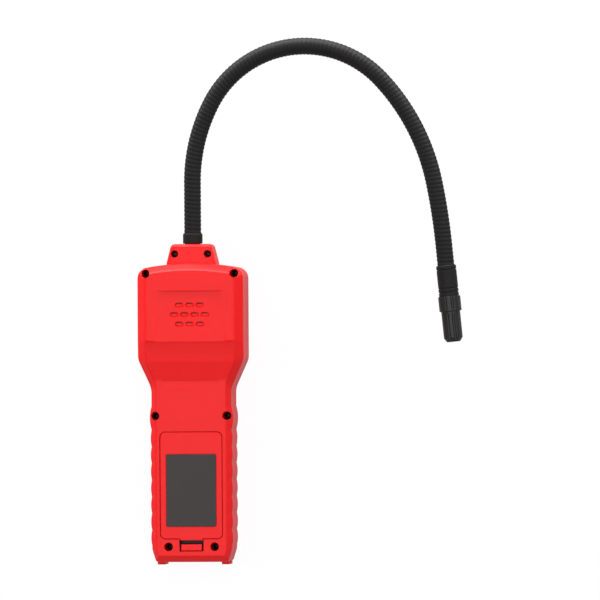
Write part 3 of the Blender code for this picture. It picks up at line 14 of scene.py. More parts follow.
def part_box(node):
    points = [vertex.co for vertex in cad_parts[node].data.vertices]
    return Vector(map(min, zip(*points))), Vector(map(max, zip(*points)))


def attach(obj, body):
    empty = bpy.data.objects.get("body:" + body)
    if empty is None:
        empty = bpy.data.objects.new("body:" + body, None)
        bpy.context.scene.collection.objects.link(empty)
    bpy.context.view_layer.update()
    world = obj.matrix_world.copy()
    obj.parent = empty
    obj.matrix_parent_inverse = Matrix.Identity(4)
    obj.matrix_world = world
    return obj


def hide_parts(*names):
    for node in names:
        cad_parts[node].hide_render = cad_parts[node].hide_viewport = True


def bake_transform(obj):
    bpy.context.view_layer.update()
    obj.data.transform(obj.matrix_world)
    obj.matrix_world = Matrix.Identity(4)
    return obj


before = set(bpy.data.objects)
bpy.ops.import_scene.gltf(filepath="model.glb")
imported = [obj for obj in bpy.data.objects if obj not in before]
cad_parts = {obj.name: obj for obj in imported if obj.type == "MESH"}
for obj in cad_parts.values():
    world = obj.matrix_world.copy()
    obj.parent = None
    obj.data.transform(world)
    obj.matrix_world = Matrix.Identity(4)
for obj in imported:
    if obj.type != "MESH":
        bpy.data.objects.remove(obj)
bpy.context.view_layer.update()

bl_info = {
    "name": "Refrigerant leak detector",
    "version": (1, 0, 0),
    "blender": (4, 5, 0),
    "location": "View3D > Sidebar > Leak detector",
    "description": "Dresses the leak detector's CAD frame with detailed pieces and materials",
    "category": "Object",
}

# Housing plan, in metres, as the CAD has it
GRIP_WIDTH = 0.0466
HEAD_WIDTH = 0.0616
BUTT_WIDTH = 0.0420
BUTT_TAPER = 0.0075
GRIP_LENGTH = 0.1007
NECKDOWN_LENGTH = 0.0167
HEAD_LENGTH = 0.0523
CROWN_RISE = 0.0033
WAIST_RADIUS = 0.0130
HEAD_CORNER_RADIUS = 0.0100
SHOULDER_RADIUS = 0.0065
BUTT_RADIUS = 0.0020
HEEL_RADIUS = 0.0070
REST_POINT = 0.0450

# Housing depth
GRIP_DEPTH = 0.0350
HEAD_DEPTH = 0.0395
SEAM = 0.0175
SLOPE_LEAD = 0.0049
SLOPE_LENGTH = 0.0226
WALL = 0.0022
GAP = 0.0003

# Rear bevel along the butt, the heel, the grip, the taper, the head and the crown
BEVEL_RUNS = (0.0038, 0.0030, 0.0034, 0.0045, 0.0058, 0.0046, 0.0046, 0.0046)
GRIP_DROP = 0.0046
HEAD_DROP = 0.0064
FRONT_BEVEL = 0.0020

# Finger scallops
SCALLOPS = 6
SCALLOP_START = 0.0186
HEEL_SWELL = 0.0090
WAIST_SWELL = 0.0136
WAIST_SWELL_HEIGHT = 0.0010
WAIST_PLAIN = 0.0105

# Collar, feet, wells and bosses
COLLAR_LENGTH = 0.0112
COLLAR_BASE = 0.0288
COLLAR_TOP = 0.0232
COLLAR_DEPTH = 0.0232
COLLAR_BEVEL = 0.0024
COLLAR_ROOT = 0.0064
FOOT_SIZE = (0.0044, 0.0016)
FOOT_INSET = 0.0023
REAR_FOOT = (SEAM + 0.0032, 0.0245)
FRONT_FOOT = (0.0053, SEAM - 0.0032)
WELL_RADIUS = 0.0025
COLLAR_WELL_RADIUS = 0.0022
BOSS_RADIUS = 0.0035
SCREW_HOLE = 0.0015
COLLAR_SCREW_HOLE = 0.00125
SEAT_ABOVE_SEAM = 0.0030
COLLAR_SEAT_ABOVE_SEAM = 0.0050

# Battery bay and door
CELL_RADIUS = 0.00725
CELL_LENGTH = 0.0495
BAY_START = 0.0150
BAY_END = 0.0758
BAY_HALF_WIDTH = 0.01505
BAY_WALL = 0.0015
DOOR_WIDTH = 0.0360
DOOR_START = 0.0135
DOOR_LENGTH = 0.0618
DOOR_THICKNESS = 0.0020
DOOR_CORNER = 0.0030
DOOR_EDGE = 0.0005
SEAT_RIM = 0.0016
TAB_WIDTH = 0.0134
TAB_REACH = 0.0010
LATCH_WIDTH = 0.0118
LATCH_SLOT = 0.0022
LATCH_LIP = 0.0037
LATCH_DEPTH = 0.0085
LATCH_WEB = 0.0011
NOTCH_MARGIN = 0.0004
LUG = (0.0090, 0.0040, 0.0023, 0.0013)  # spread, width, reach, thickness

# Sound outlet
PAD_WIDTH = 0.0454
PAD_SIDE_RUN = 0.0033
PAD_BELOW_CROWN = 0.0162
PAD_CORNER = 0.0032
PAD_DEPTH = 0.0009
SPEAKER_BELOW_CROWN = 0.0297
SPEAKER_RADIUS = 0.0140
LOUVRE = (0.0049, 0.0028, 0.0008, 0.0005)  # width, height, depth, slit
LOUVRE_PITCH = (0.0060, 0.0055)
LOUVRE_ROWS = (3, 4, 3)

# Front tray
TRAY_WIDTH = 0.0390
TRAY_BELOW_TAPER = 0.0190
TRAY_LENGTH = 0.0590
TRAY_DEPTH = 0.0012
TRAY_RADIUS = 0.0040
POST = (0.0022, 0.0010, 0.0032, 0.0026)  # radius, pin radius, inset, pin length
FLANGE_MARGIN = 0.0012

# Neck: each stretch of its arch has a length and a turn in degrees
NECK_STRETCHES = ((0.0295, 0.0), (0.0475, 27.5), (0.1166, 109.5), (0.0680, 31.5), (0.0375, 6.0), (0.0115, 0.0))
NECK_LENGTH = sum(length for length, _ in NECK_STRETCHES)
NECK_BENDS = 9
NECK_SEAT = 0.0047
BEND_REACH = 0.0115  # a distance each side of a joint; the points there are worked out but not used

TAPER_TOP = GRIP_LENGTH + NECKDOWN_LENGTH
SHOULDER_Y = TAPER_TOP + HEAD_LENGTH
CROWN_Y = SHOULDER_Y + CROWN_RISE
CROWN_RADIUS = ((HEAD_WIDTH / 2) ** 2 + CROWN_RISE**2) / (2 * CROWN_RISE)
COLLAR_END = CROWN_Y + COLLAR_LENGTH
SLOPE_START = GRIP_LENGTH + SLOPE_LEAD
SLOPE_END = SLOPE_START + SLOPE_LENGTH
SCALLOP_PITCH = (GRIP_LENGTH - SCALLOP_START - WAIST_SWELL - WAIST_PLAIN) / SCALLOPS
SCALLOP_END = SCALLOP_START + SCALLOPS * SCALLOP_PITCH
DOOR_END = DOOR_START + DOOR_LENGTH
SPEAKER_Y = CROWN_Y - SPEAKER_BELOW_CROWN
TRAY_START = TAPER_TOP - TRAY_BELOW_TAPER
SEAT_Z = GRIP_DEPTH - DOOR_THICKNESS - GAP
MOUTH_END = min(BAY_END, DOOR_END - SEAT_RIM)
CASE_SCREWS = (
    (HEAD_WIDTH / 2 - 0.0051, SHOULDER_Y - 0.0026),
    (GRIP_WIDTH / 2 - 0.0025, SCALLOP_END + 0.0081),
    (BUTT_WIDTH / 2 - 0.0076, 0.0089),
)
# Steps of the slope's edges: y, half width, depth and length of the fade below it
CREASE_STEPS = ((SLOPE_END, 0.0262, 0.00050, 0.0120), (SLOPE_START, 0.0165, 0.00035, 0.0042))
CREASE_RUN = 0.0009
COLLAR_SCREWS = ((COLLAR_BASE / 2 - 0.0048, CROWN_Y + 0.0055),)
FAR = 0.0600  # how far a through cut runs past the housing
NECK_START = COLLAR_END + 0.0064 - REST_POINT


def linear(code):
    """An sRGB hex colour as linear red, green and blue."""
    found = []
    for i in (1, 3, 5):
        share = int(code[i:i + 2], 16) / 255
        found.append(share / 12.92 if share <= 0.04045 else ((share + 0.055) / 1.055) ** 2.4)
    return tuple(found)


# What a user may change

def colour_setting(name, description, code):
    return bpy.props.FloatVectorProperty(
        name=name, description=description, subtype="COLOR", size=3, min=0.0, max=1.0, default=linear(code),
    )


def length_setting(name, description, default):
    return bpy.props.FloatProperty(
        name=name, description=description, default=default, min=0.0, precision=5, unit="LENGTH",
        subtype="DISTANCE",
    )


class DetectorSizes(bpy.types.PropertyGroup):
    scallop_height: length_setting("Scallop height", "How far each finger scallop stands out", 0.00055)
    edge_radius: length_setting("Edge radius", "Softness of the moulded edges", 0.00035)
    rib_pitch: length_setting("Rib pitch", "Distance between the neck's spiral ribs", 0.0024)
    rib_depth: length_setting("Rib depth", "Depth of the valleys between the neck's ribs", 0.00021)
    flute_radius: length_setting("Flute radius", "Radius of the flutes in the sensor cap", 0.00085)


class DetectorColours(bpy.types.PropertyGroup):
    case: colour_setting("Case", "Red of the moulded housing", "#ee1215")
    plastic: colour_setting("Black plastic", "Ferrules and sensor cap", "#131314")
    # Painted shade: a near-black red painted down in the latch's slot, standing in for the shade that falls
    # there
    painted_slot_shade: colour_setting("Slot painted shade", "Painted shade down in the latch's slot", "#2a0606")
    sheath: colour_setting("Neck sheath", "Rubbery sheath of the neck", "#121213")
    panel: colour_setting("Rear panel", "Dark film on the battery door", "#342f2f")
    keys: colour_setting("Keys", "Soft dark keys", "#333437")
    board: colour_setting("Board", "Solder mask of the circuit board", "#12512f")
    cells: colour_setting("Cells", "Jacket of the battery cells", "#1c2f4e")


# Node helpers

MM = 1000.0


def feed(tree, socket, value):
    """Sets a socket to a value, or links it to another node's output."""
    if isinstance(value, bpy.types.NodeSocket):
        tree.links.new(value, socket)
    else:
        socket.default_value = value


def node(tree, kind, inputs=None, **settings):
    """Adds a node, with its settings and its inputs set to values or to other nodes' outputs."""
    made = tree.nodes.new("ShaderNode" + kind)
    for name, value in settings.items():
        setattr(made, name, value)
    for name, value in (inputs or {}).items():
        feed(tree, made.inputs[name], value)
    return made


def maths(tree, operation, *values):
    """The result of one sum, product or comparison."""
    return node(tree, "Math", dict(enumerate(values)), operation=operation).outputs[0]


def in_mm(tree, stretch=(1.0, 1.0, 1.0)):
    """The piece's own coordinates in millimetres, with a stretch along an axis where one is wanted."""
    place = node(tree, "TexCoord").outputs["Object"]
    return node(tree, "Mapping", {"Vector": place, "Scale": tuple(MM * s for s in stretch)}).outputs[0]


def noise(tree, place, per_mm, detail=2.0, roughness=0.5):
    return node(
        tree, "TexNoise", {"Vector": place, "Scale": per_mm, "Detail": detail, "Roughness": roughness},
    ).outputs["Fac"]


def remap(tree, value, low, high, from_low=0.0, from_high=1.0):
    return node(tree, "MapRange", {
        "Value": value, "From Min": from_low, "From Max": from_high, "To Min": low, "To Max": high,
    }).outputs["Result"]


def blended(tree, share, first, second):
    """Two colours mixed by a share, which may be a number or a socket."""
    return node(tree, "Mix", {0: share, 6: first, 7: second}, data_type="RGBA").outputs[2]


def rgba(colour, gain=1.0):
    return (*(min(1.0, c * gain) for c in colour), 1.0)


def worn_edges(tree, low=0.53, high=0.62):
    """1 along sharp outer edges, where handling polishes the surface, and 0 elsewhere."""
    return remap(tree, node(tree, "NewGeometry").outputs["Pointiness"], 0.0, 1.0, low, high)


def surface(name, colour, roughness, height, relief, soft_edge=0.0, **uniform):
    """A material from a colour, a roughness and a bump height, each a function of the tree."""
    made = bpy.data.materials.new(name)
    made.use_nodes = True
    tree = made.node_tree
    shader = tree.nodes["Principled BSDF"]
    for socket, value in {"Base Color": colour(tree), "Roughness": roughness(tree), **uniform}.items():
        feed(tree, shader.inputs[socket.replace("_", " ")], value)
    bump = node(tree, "Bump", {"Height": height(tree), "Distance": relief})
    if soft_edge:
        feed(tree, bump.inputs["Normal"], node(tree, "Bevel", {"Radius": soft_edge}, samples=4).outputs[0])
    feed(tree, shader.inputs["Normal"], bump.outputs[0])
    return made


def sparked(per_mm):
    """The spark-eroded grain of a mould: small pits with a coarser unevenness under them."""
    def height(tree):
        place = in_mm(tree)
        return maths(tree, "ADD", noise(tree, place, per_mm, 3.0, 0.6), noise(tree, place, per_mm / 9))
    return height


def mottled(colour, per_mm, spread, edge_gain):
    """A colour that drifts a little over the piece and is lighter along its rubbed edges."""
    def tint(tree):
        drift = noise(tree, in_mm(tree), per_mm, 3.0)
        body = blended(tree, drift, rgba(colour, 1 - spread), rgba(colour, 1 + spread))
        return blended(tree, maths(tree, "MULTIPLY", worn_edges(tree), 0.5), body, rgba(colour, edge_gain))
    return tint


def uneven(low, high, per_mm=0.35):
    """Roughness between two values, with patches where hands have polished it."""
    def rough(tree):
        place = in_mm(tree)
        patches = noise(tree, place, per_mm, 4.0, 0.6)
        return remap(tree, maths(tree, "ADD", patches, noise(tree, place, per_mm * 12)), low, high, 0.6, 1.4)
    return rough


def moulded(name, colour, drift, rough, grain, relief, soft_edge=0.0, **uniform):
    """The usual plastic: drift is (per mm, spread, gain at edges) and rough is (low, high, per mm)."""
    return surface(
        name, mottled(colour, *drift), uneven(*rough), sparked(grain), relief, soft_edge, **uniform,
    )


def latch_shade(tree):
    """1 down in the narrow slot of the battery door's latch, where shade is painted dark into the colour, and
    0 elsewhere.
    """
    tab_foot, lip_top, _, _ = latch_rows()
    low = (-0.6 * TAB_WIDTH, lip_top - GAP - REST_POINT, GRIP_DEPTH - LATCH_DEPTH - WALL)
    high = (0.6 * TAB_WIDTH, tab_foot + GAP - REST_POINT, GRIP_DEPTH - 0.0004)
    share = 1.0
    for value, a, b in zip(node(tree, "SeparateXYZ", {"Vector": in_mm(tree)}).outputs, low, high):
        inside = maths(tree, "COMPARE", value, MM * (a + b) / 2, MM * (b - a) / 2)
        share = maths(tree, "MULTIPLY", share, inside)
    return share


# Materials, each made once

def red_abs(looks, sizes):
    """Moulded ABS: fine grain breaks up the highlights, edges are rubbed and the latch's slot has painted
    shade.
    """
    body = mottled(looks.case, 0.05, 0.03, 1.1)
    return surface(
        "red_abs", lambda tree: blended(tree, latch_shade(tree), body(tree), rgba(looks.painted_slot_shade)),
        uneven(0.28, 0.38), sparked(3.2), 0.000022, sizes.edge_radius, Specular_IOR_Level=0.26,
    )


def black_plastic(looks, sizes):
    """Glossier black nylon: satin, with soft edges that catch a thin line of light."""
    return moulded(
        "black_nylon", looks.plastic, (0.2, 0.15, 1.9), (0.26, 0.38, 0.6), 4.5, 0.00001, 0.00018,
        Specular_IOR_Level=0.4,
    )


def ferrule_plastic(looks, sizes):
    """The ferrules' duller nylon: the same black with a rougher, handled surface and paler groove edges."""
    return moulded(
        "glass_filled_nylon", looks.plastic, (0.2, 0.15, 1.5), (0.44, 0.58, 0.6), 3.5, 0.000014, 0.00018,
        Specular_IOR_Level=0.22,
    )


def neck_sheath(looks, sizes):
    """Rubbery sheath: paler, rubbed crests along the ribs and a faint bloom in patches."""
    return moulded(
        "rubber_sheath", looks.sheath, (0.12, 0.2, 2.0), (0.5, 0.64, 0.4), 5.0, 0.000012,
        Specular_IOR_Level=0.22,
    )


def panel_film(looks, sizes):
    """Matte polyester film: an orange-peel surface over an even dark grey."""
    return moulded(
        "polyester_film", looks.panel, (0.15, 0.04, 1.25), (0.42, 0.52, 0.8), 2.0, 0.00001, 0.00012,
        Specular_IOR_Level=0.35,
    )


def black_oxide(looks, sizes):
    """Black-oxide steel: dark metal with brown-grey patches and bright rubbed edges."""
    def tint(tree):
        patches = noise(tree, in_mm(tree), 1.4, 4.0)
        body = blended(tree, patches, rgba((0.035, 0.034, 0.036)), rgba((0.075, 0.066, 0.058)))
        return blended(tree, worn_edges(tree, 0.55, 0.7), body, rgba((0.30, 0.29, 0.28)))
    return surface(
        "black_oxide_steel", tint, uneven(0.34, 0.52, 1.2), sparked(6.0), 0.00001, 0.0001, Metallic=1.0,
    )


def nickel(looks, sizes):
    """Nickel plate: warm bright metal with drawing lines and a slight haze."""
    def tint(tree):
        haze = noise(tree, in_mm(tree), 0.5, 4.0)
        return blended(tree, haze, rgba((0.66, 0.61, 0.53)), rgba((0.78, 0.73, 0.66)))

    def lines(tree):
        return noise(tree, in_mm(tree, (14.0, 14.0, 0.4)), 1.0)
    return surface("nickel_plate", tint, uneven(0.2, 0.36, 0.9), lines, 0.000006, Metallic=1.0)


def gauze(looks, sizes):
    """Sintered steel gauze over the sensor: a close mesh of dark openings."""
    def cells(tree):
        return node(tree, "TexVoronoi", {"Vector": in_mm(tree), "Scale": 3.4}).outputs["Distance"]

    def tint(tree):
        open_cells = remap(tree, cells(tree), 1.0, 0.0, 0.18, 0.42)
        return blended(tree, open_cells, rgba((0.58, 0.56, 0.52)), rgba((0.05, 0.05, 0.05)))
    return surface("steel_gauze", tint, uneven(0.3, 0.45, 1.5), cells, 0.00008, Metallic=0.9)


def key_rubber(looks, sizes):
    """Soft-touch key plastic: matte and fine-grained, lighter where a thumb rubs it."""
    return moulded(
        "soft_key_plastic", looks.keys, (0.3, 0.08, 1.6), (0.52, 0.66, 0.7), 5.0, 0.000014, 0.00025,
        Specular_IOR_Level=0.4,
    )


def key_ink(looks, sizes):
    """Pale ink of the key symbols, slightly uneven in cover."""
    return moulded("key_ink", (0.70, 0.70, 0.68), (2.0, 0.06, 1.05), (0.5, 0.62, 2.0), 6.0, 0.000006)


def smoked_lens(looks, sizes):
    """Smoked polycarbonate window: dark, glossy and faintly red, with fine scratches."""
    def scratches(tree):
        return noise(tree, in_mm(tree, (0.3, 6.0, 1.0)), 3.0)
    return surface(
        "smoked_polycarbonate", mottled((0.035, 0.006, 0.006), 0.3, 0.2, 1.2), uneven(0.06, 0.16, 1.0),
        scratches, 0.000003, 0.0002, Transmission_Weight=0.55, IOR=1.58,
    )


def solder_mask(looks, sizes):
    """Green solder mask: satin, with copper tracks that stand out as paler lines."""
    def tracks(tree):
        return node(tree, "TexBrick", {
            "Vector": in_mm(tree), "Scale": 0.45, "Mortar Size": 0.045, "Mortar Smooth": 0.1,
            "Brick Width": 1.7, "Row Height": 0.42,
        }).outputs["Fac"]

    def tint(tree):
        return blended(tree, tracks(tree), rgba(looks.board), rgba(looks.board, 2.0))
    return surface("solder_mask", tint, uneven(0.3, 0.42, 0.8), tracks, 0.00003, Specular_IOR_Level=0.5)


def lamp_resin(looks, sizes):
    """Diffusing resin of the indicator lamps: milky, with a little colour from within."""
    return moulded(
        "lamp_resin", (0.72, 0.60, 0.42), (1.0, 0.1, 1.1), (0.18, 0.3, 1.5), 4.0, 0.000008,
        Transmission_Weight=0.3,
    )


def chip_epoxy(looks, sizes):
    """Moulded epoxy of the chips: dull near-black with a coarse grain."""
    return moulded("chip_epoxy", (0.016, 0.016, 0.017), (1.0, 0.2, 2.0), (0.5, 0.62, 1.0), 7.0, 0.00002)


def cell_jacket(looks, sizes):
    """Printed steel jacket of a cell: a dark sleeve with a copper-coloured shoulder at its positive end."""
    def tint(tree):
        place = in_mm(tree)
        split = node(tree, "SeparateXYZ", {"Vector": place})
        along = maths(tree, "SUBTRACT", split.outputs["Y"], MM * (BAY_START - REST_POINT))
        body = blended(tree, noise(tree, place, 0.08), rgba(looks.cells, 0.85), rgba(looks.cells, 1.15))
        return blended(tree, remap(tree, along, 0.0, 1.0, 41.0, 41.4), body, rgba((0.50, 0.20, 0.09)))
    return surface("cell_jacket", tint, uneven(0.24, 0.34, 0.7), sparked(2.5), 0.000008, Metallic=0.45)


MATERIAL_MAKERS = {
    maker.__name__: maker for maker in (
        red_abs, black_plastic, ferrule_plastic, neck_sheath, panel_film, black_oxide, nickel, gauze,
        key_rubber, key_ink, smoked_lens, solder_mask, lamp_resin, chip_epoxy, cell_jacket,
    )
}
made_materials = {}


def material(name):
    """The named material, made when it is first wanted."""
    if name not in made_materials:
        scene = bpy.context.scene
        made_materials[name] = MATERIAL_MAKERS[name](scene.detector_colours, scene.detector_sizes)
    return made_materials[name]


# Mesh helpers

def mesh_of(bm):
    """The finished mesh, with its faces turned outwards."""
    bmesh.ops.recalc_face_normals(bm, faces=bm.faces)
    if bm.calc_volume(signed=True) < 0:
        bmesh.ops.reverse_faces(bm, faces=bm.faces)
    mesh = bpy.data.meshes.new("shape")
    bm.to_mesh(mesh)
    bm.free()
    return mesh


def gathered(meshes):
    """One mesh that holds several separate solids."""
    bm = bmesh.new()
    for mesh in meshes:
        bm.from_mesh(mesh)
    return mesh_of(bm)


def rings_to_mesh(rings, closed=False):
    """A skin over rings of points; open stacks are capped at both ends."""
    bm = bmesh.new()
    made = [[bm.verts.new(co) for co in ring] for ring in rings]
    following = made[1:] + made[:1] if closed else made[1:]
    for first, second in zip(made, following):
        for i in range(len(first)):
            j = (i + 1) % len(first)
            bm.faces.new((first[i], first[j], second[j], second[i]))
    if not closed:
        bm.faces.new(made[0])
        bm.faces.new(made[-1])
    return mesh_of(bm)


def lofted(levels, closed=False):
    """A skin over flat outlines; levels are (points, height)."""
    return rings_to_mesh([[(x, y, z) for x, y in points] for points, z in levels], closed)


def corners_of(x, y, far_x, far_y):
    return (x, y), (far_x, y), (far_x, far_y), (x, far_y)


def box(low, high):
    return plate(corners_of(*low[:2], *high[:2]), low[2], high[2])


def slab(half_width, y, far_y, low, high):
    """A box that is centred across the housing."""
    return box((-half_width, y, low), (half_width, far_y, high))


def plate(points, low, high, edge=0.0, inset=None):
    """A flat outline with a thickness; edge rounds its upper rim, with inset(distance) to shrink it."""
    levels = [(points, low), (points, high - edge)]
    if edge:
        for share in (0.3, 0.6, 1.0):
            turn = share * math.pi / 2
            levels.append((inset(edge * (1 - math.cos(turn))), high - edge * (1 - math.sin(turn))))
    return lofted(levels)


def cylinder(radius, start, end, sides=28):
    """A cylinder between two points."""
    start, end = Vector(start), Vector(end)
    along = (end - start).normalized()
    return rings_to_mesh([ring_round(point, along, [radius] * sides) for point in (start, end)])


def ring_round(centre, along, radii):
    """Points round a centre, in the plane across a direction, with one radius for each point."""
    side = along.cross(Vector((0.0, 0.0, 1.0)))
    side = side.normalized() if side.length > 0.01 else Vector((1.0, 0.0, 0.0))
    up = side.cross(along)
    turns = (2 * math.pi * i / len(radii) for i in range(len(radii)))
    return [centre + radius * (math.cos(t) * side + math.sin(t) * up) for radius, t in zip(radii, turns)]


def turned(profile, foot, along, sides=48):
    """A closed ring of (radius, height) points turned about an axis; a radius of 0 closes on the axis."""
    bm = bmesh.new()
    foot, along = Vector(foot), Vector(along).normalized()
    rings = []
    for radius, height in profile:
        centre = foot + height * along
        if radius < 1e-7:
            rings.append([bm.verts.new(centre)] * sides)
        else:
            rings.append([bm.verts.new(co) for co in ring_round(centre, along, [radius] * sides)])
    hollow = profile[0][0] > 1e-7
    for first, second in zip(rings, rings[1:] + rings[:1] if hollow else rings[1:]):
        for i in range(sides):
            j = (i + 1) % sides
            corners = dict.fromkeys((first[i], first[j], second[j], second[i]))
            if len(corners) > 2:
                bm.faces.new(list(corners))
    return mesh_of(bm)


def rounded(profile, radius, steps=3, keep=()):
    """A profile whose corners are rounded; the points with an index in keep stay sharp."""
    points = [Vector(p) for p in profile]
    found = [points[0]]
    for i, (before, corner, after) in enumerate(zip(points, points[1:], points[2:]), start=1):
        reach = min(radius, 0.45 * (before - corner).length, 0.45 * (after - corner).length)
        if i in keep:
            found.append(corner)
            continue
        first = corner + (before - corner).normalized() * reach
        last = corner + (after - corner).normalized() * reach
        for step in range(steps + 1):
            t = step / steps
            found.append((1 - t) ** 2 * first + 2 * t * (1 - t) * corner + t * t * last)
    return [tuple(p) for p in (*found, points[-1])]


def added(name, data):
    """A new object of the scene, from a mesh, a lamp or a camera."""
    made = bpy.data.objects.new(name, data)
    bpy.context.scene.collection.objects.link(made)
    return made


def carved(mesh, joined=(), cut=()):
    """The mesh with some meshes joined to it and then others cut out of it."""
    work = added("work", mesh)
    made = [work]
    for operation, tools in (("UNION", joined), ("DIFFERENCE", cut)):
        for tool in tools:
            made.append(added("tool", tool))
            modifier = work.modifiers.new(operation, "BOOLEAN")
            modifier.operation = operation
            modifier.object = made[-1]
    depsgraph = bpy.context.evaluated_depsgraph_get()
    depsgraph.update()
    result = bpy.data.meshes.new_from_object(work.evaluated_get(depsgraph))
    for item in made:
        bpy.data.objects.remove(item)
    return result


def placed(mesh):
    """Moves a mesh from housing distances into the frame."""
    mesh.transform(Matrix.Translation((0.0, -REST_POINT, 0.0)))
    return mesh


def piece(name, mesh, look, body, replaced=(), sharp=32.0):
    """Adds a visible piece that rides on a body and stands for CAD nodes."""
    mesh.name = name
    mesh.materials.clear()
    mesh.materials.append(material(look))
    mesh.shade_smooth()
    mesh.set_sharp_from_angle(angle=math.radians(sharp))
    made = added(name, mesh)
    weighted = made.modifiers.new("weighted_normals", "WEIGHTED_NORMAL")
    weighted.keep_sharp = True
    if body:
        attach(made, body)
    if replaced:
        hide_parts(*replaced)
    return made


def nodes_with(text):
    return [name for name in sorted(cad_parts) if text in name]


def node_corners(name):
    return [Vector(corner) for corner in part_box(name)]


def dress(name, look):
    """Gives a CAD node a better material and keeps its shape."""
    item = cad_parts[name]
    item.data.materials.clear()
    item.data.materials.append(material(look))


# The housing's plan outline

def crown(x):
    return CROWN_Y - CROWN_RADIUS + math.sqrt(CROWN_RADIUS**2 - x**2)


def slope_share(y):
    return min(1.0, max(0.0, (y - SLOPE_START) / SLOPE_LENGTH))


def roof(y):
    """Height of the rear face: the grip, the slope and the deeper head."""
    return GRIP_DEPTH + (HEAD_DEPTH - GRIP_DEPTH) * slope_share(y)


def drop(y):
    return GRIP_DROP + (HEAD_DROP - GRIP_DROP) * slope_share(y)


def swells(height):
    found = [(SCALLOP_START - HEEL_SWELL, SCALLOP_START, height)]
    for i in range(SCALLOPS):
        found.append((SCALLOP_START + i * SCALLOP_PITCH, SCALLOP_START + (i + 1) * SCALLOP_PITCH, height))
    return [*found, (SCALLOP_END, SCALLOP_END + WAIST_SWELL, WAIST_SWELL_HEIGHT)]


def swell_at(y, height):
    for low, high, rise in swells(height):
        if low < y < high:
            return rise * 4 * (y - low) * (high - y) / (high - low) ** 2
    return 0.0


def inset_corners(corners, insets):
    """Moves each edge of an open outline inwards by its own distance."""
    lines = []
    for start, end, inset in zip(corners, corners[1:], insets):
        along = (end - start).normalized()
        lines.append((start + inset * Vector((-along.y, along.x)), along))
    moved = [on_axis(*lines[0])]
    for (point, along), (other, across) in zip(lines, lines[1:]):
        moved.append(point + (other - point).cross(across) / along.cross(across) * along)
    return moved + [on_axis(*lines[-1])]


def on_axis(point, along):
    """Where a line meets the housing's middle plane."""
    return point - along * (point.x / along.x)


def with_arcs(corners, radii, arc_steps, stations):
    """Replaces inner corners by arcs and adds the stations that an edge names by their y."""
    starts, ends, arcs = [corners[0]], [], []
    for before, corner, after, radius, steps in zip(corners, corners[1:], corners[2:], radii, arc_steps):
        back, forth = (before - corner), (after - corner)
        half = back.angle(forth) / 2
        reach = min(radius / math.tan(half), 0.45 * back.length, 0.45 * forth.length)
        radius = reach * math.tan(half)
        back.normalize()
        forth.normalize()
        centre = corner + (back + forth).normalized() * (radius / math.sin(half))
        first, last = corner + back * reach - centre, corner + forth * reach - centre
        sweep = first.angle_signed(last)
        arc = []
        for i in range(steps + 1):
            spoke = first.copy()
            spoke.rotate(Matrix.Rotation(-sweep * i / steps, 2))
            arc.append(centre + spoke)
        arcs.append(arc)
        ends.append(corner + back * reach)
        starts.append(corner + forth * reach)
    ends.append(corners[-1])
    points = []
    for i, (start, end) in enumerate(zip(starts, ends)):
        if i == 0:
            points.append(start)
        for y in stations.get(i, ()):
            share = (min(max(y, start.y + 1e-5), end.y - 1e-5) - start.y) / (end.y - start.y)
            points.append(start.lerp(end, share))
        points += arcs[i] if i < len(arcs) else [end]
    return points


CROWN_X = tuple(HEAD_WIDTH / 2 * share for share in (0.6, 0.3))
PLAN = [
    Vector((0.0, 0.0)), Vector((BUTT_WIDTH / 2, 0.0)), Vector((GRIP_WIDTH / 2, BUTT_TAPER)),
    Vector((GRIP_WIDTH / 2, GRIP_LENGTH)), Vector((HEAD_WIDTH / 2, TAPER_TOP)),
    Vector((HEAD_WIDTH / 2, SHOULDER_Y)), *(Vector((x, crown(x))) for x in CROWN_X), Vector((0.0, CROWN_Y)),
]
PLAN_RADII = (
    BUTT_RADIUS, HEEL_RADIUS, WAIST_RADIUS, HEAD_CORNER_RADIUS, SHOULDER_RADIUS, CROWN_RADIUS, CROWN_RADIUS,
)
BULGE = (1, 1, -1, 1, 1, 1, 1)  # -1 where the outline is hollow
FINE_ARCS = (4, 4, 10, 5, 8, 4, 4)
COARSE_ARCS = (2, 2, 4, 2, 4, 2, 2)
SWELL_STEPS = 8
FLAT_ARC = 0.0003
CREASE = 0.0006  # extra rows this far from a crease keep it crisp
FRONT_RUNS = (FRONT_BEVEL,) * len(BEVEL_RUNS)


def plan_loop(inset, share, runs, relief, fine):
    """Right half of the plan outline, moved in by inset and by a share of each edge's bevel run."""
    insets = [inset + share * run for run in runs]
    corners = inset_corners(PLAN, insets)
    radii = [max(FLAT_ARC, radius - bulge * moved) for radius, bulge, moved in zip(PLAN_RADII, BULGE, insets)]
    stations = {3: (SLOPE_START,), 4: (SLOPE_END,)}
    if fine:
        stations = {i: (y - CREASE, y, y + CREASE) for i, (y,) in stations.items()}
        marks = [
            low + (high - low) * i / SWELL_STEPS for low, high, _ in swells(0.0) for i in range(SWELL_STEPS)
        ]
        stations[2] = (*marks, swells(0.0)[-1][1])
    points = with_arcs(corners, radii, FINE_ARCS if fine else COARSE_ARCS, stations)
    height = bpy.context.scene.detector_sizes.scallop_height
    flank = GRIP_WIDTH / 2 - insets[2]
    return [
        Vector((p.x + relief * swell_at(p.y, height), p.y)) if relief and abs(p.x - flank) < 1e-6 else p
        for p in points
    ][1:]


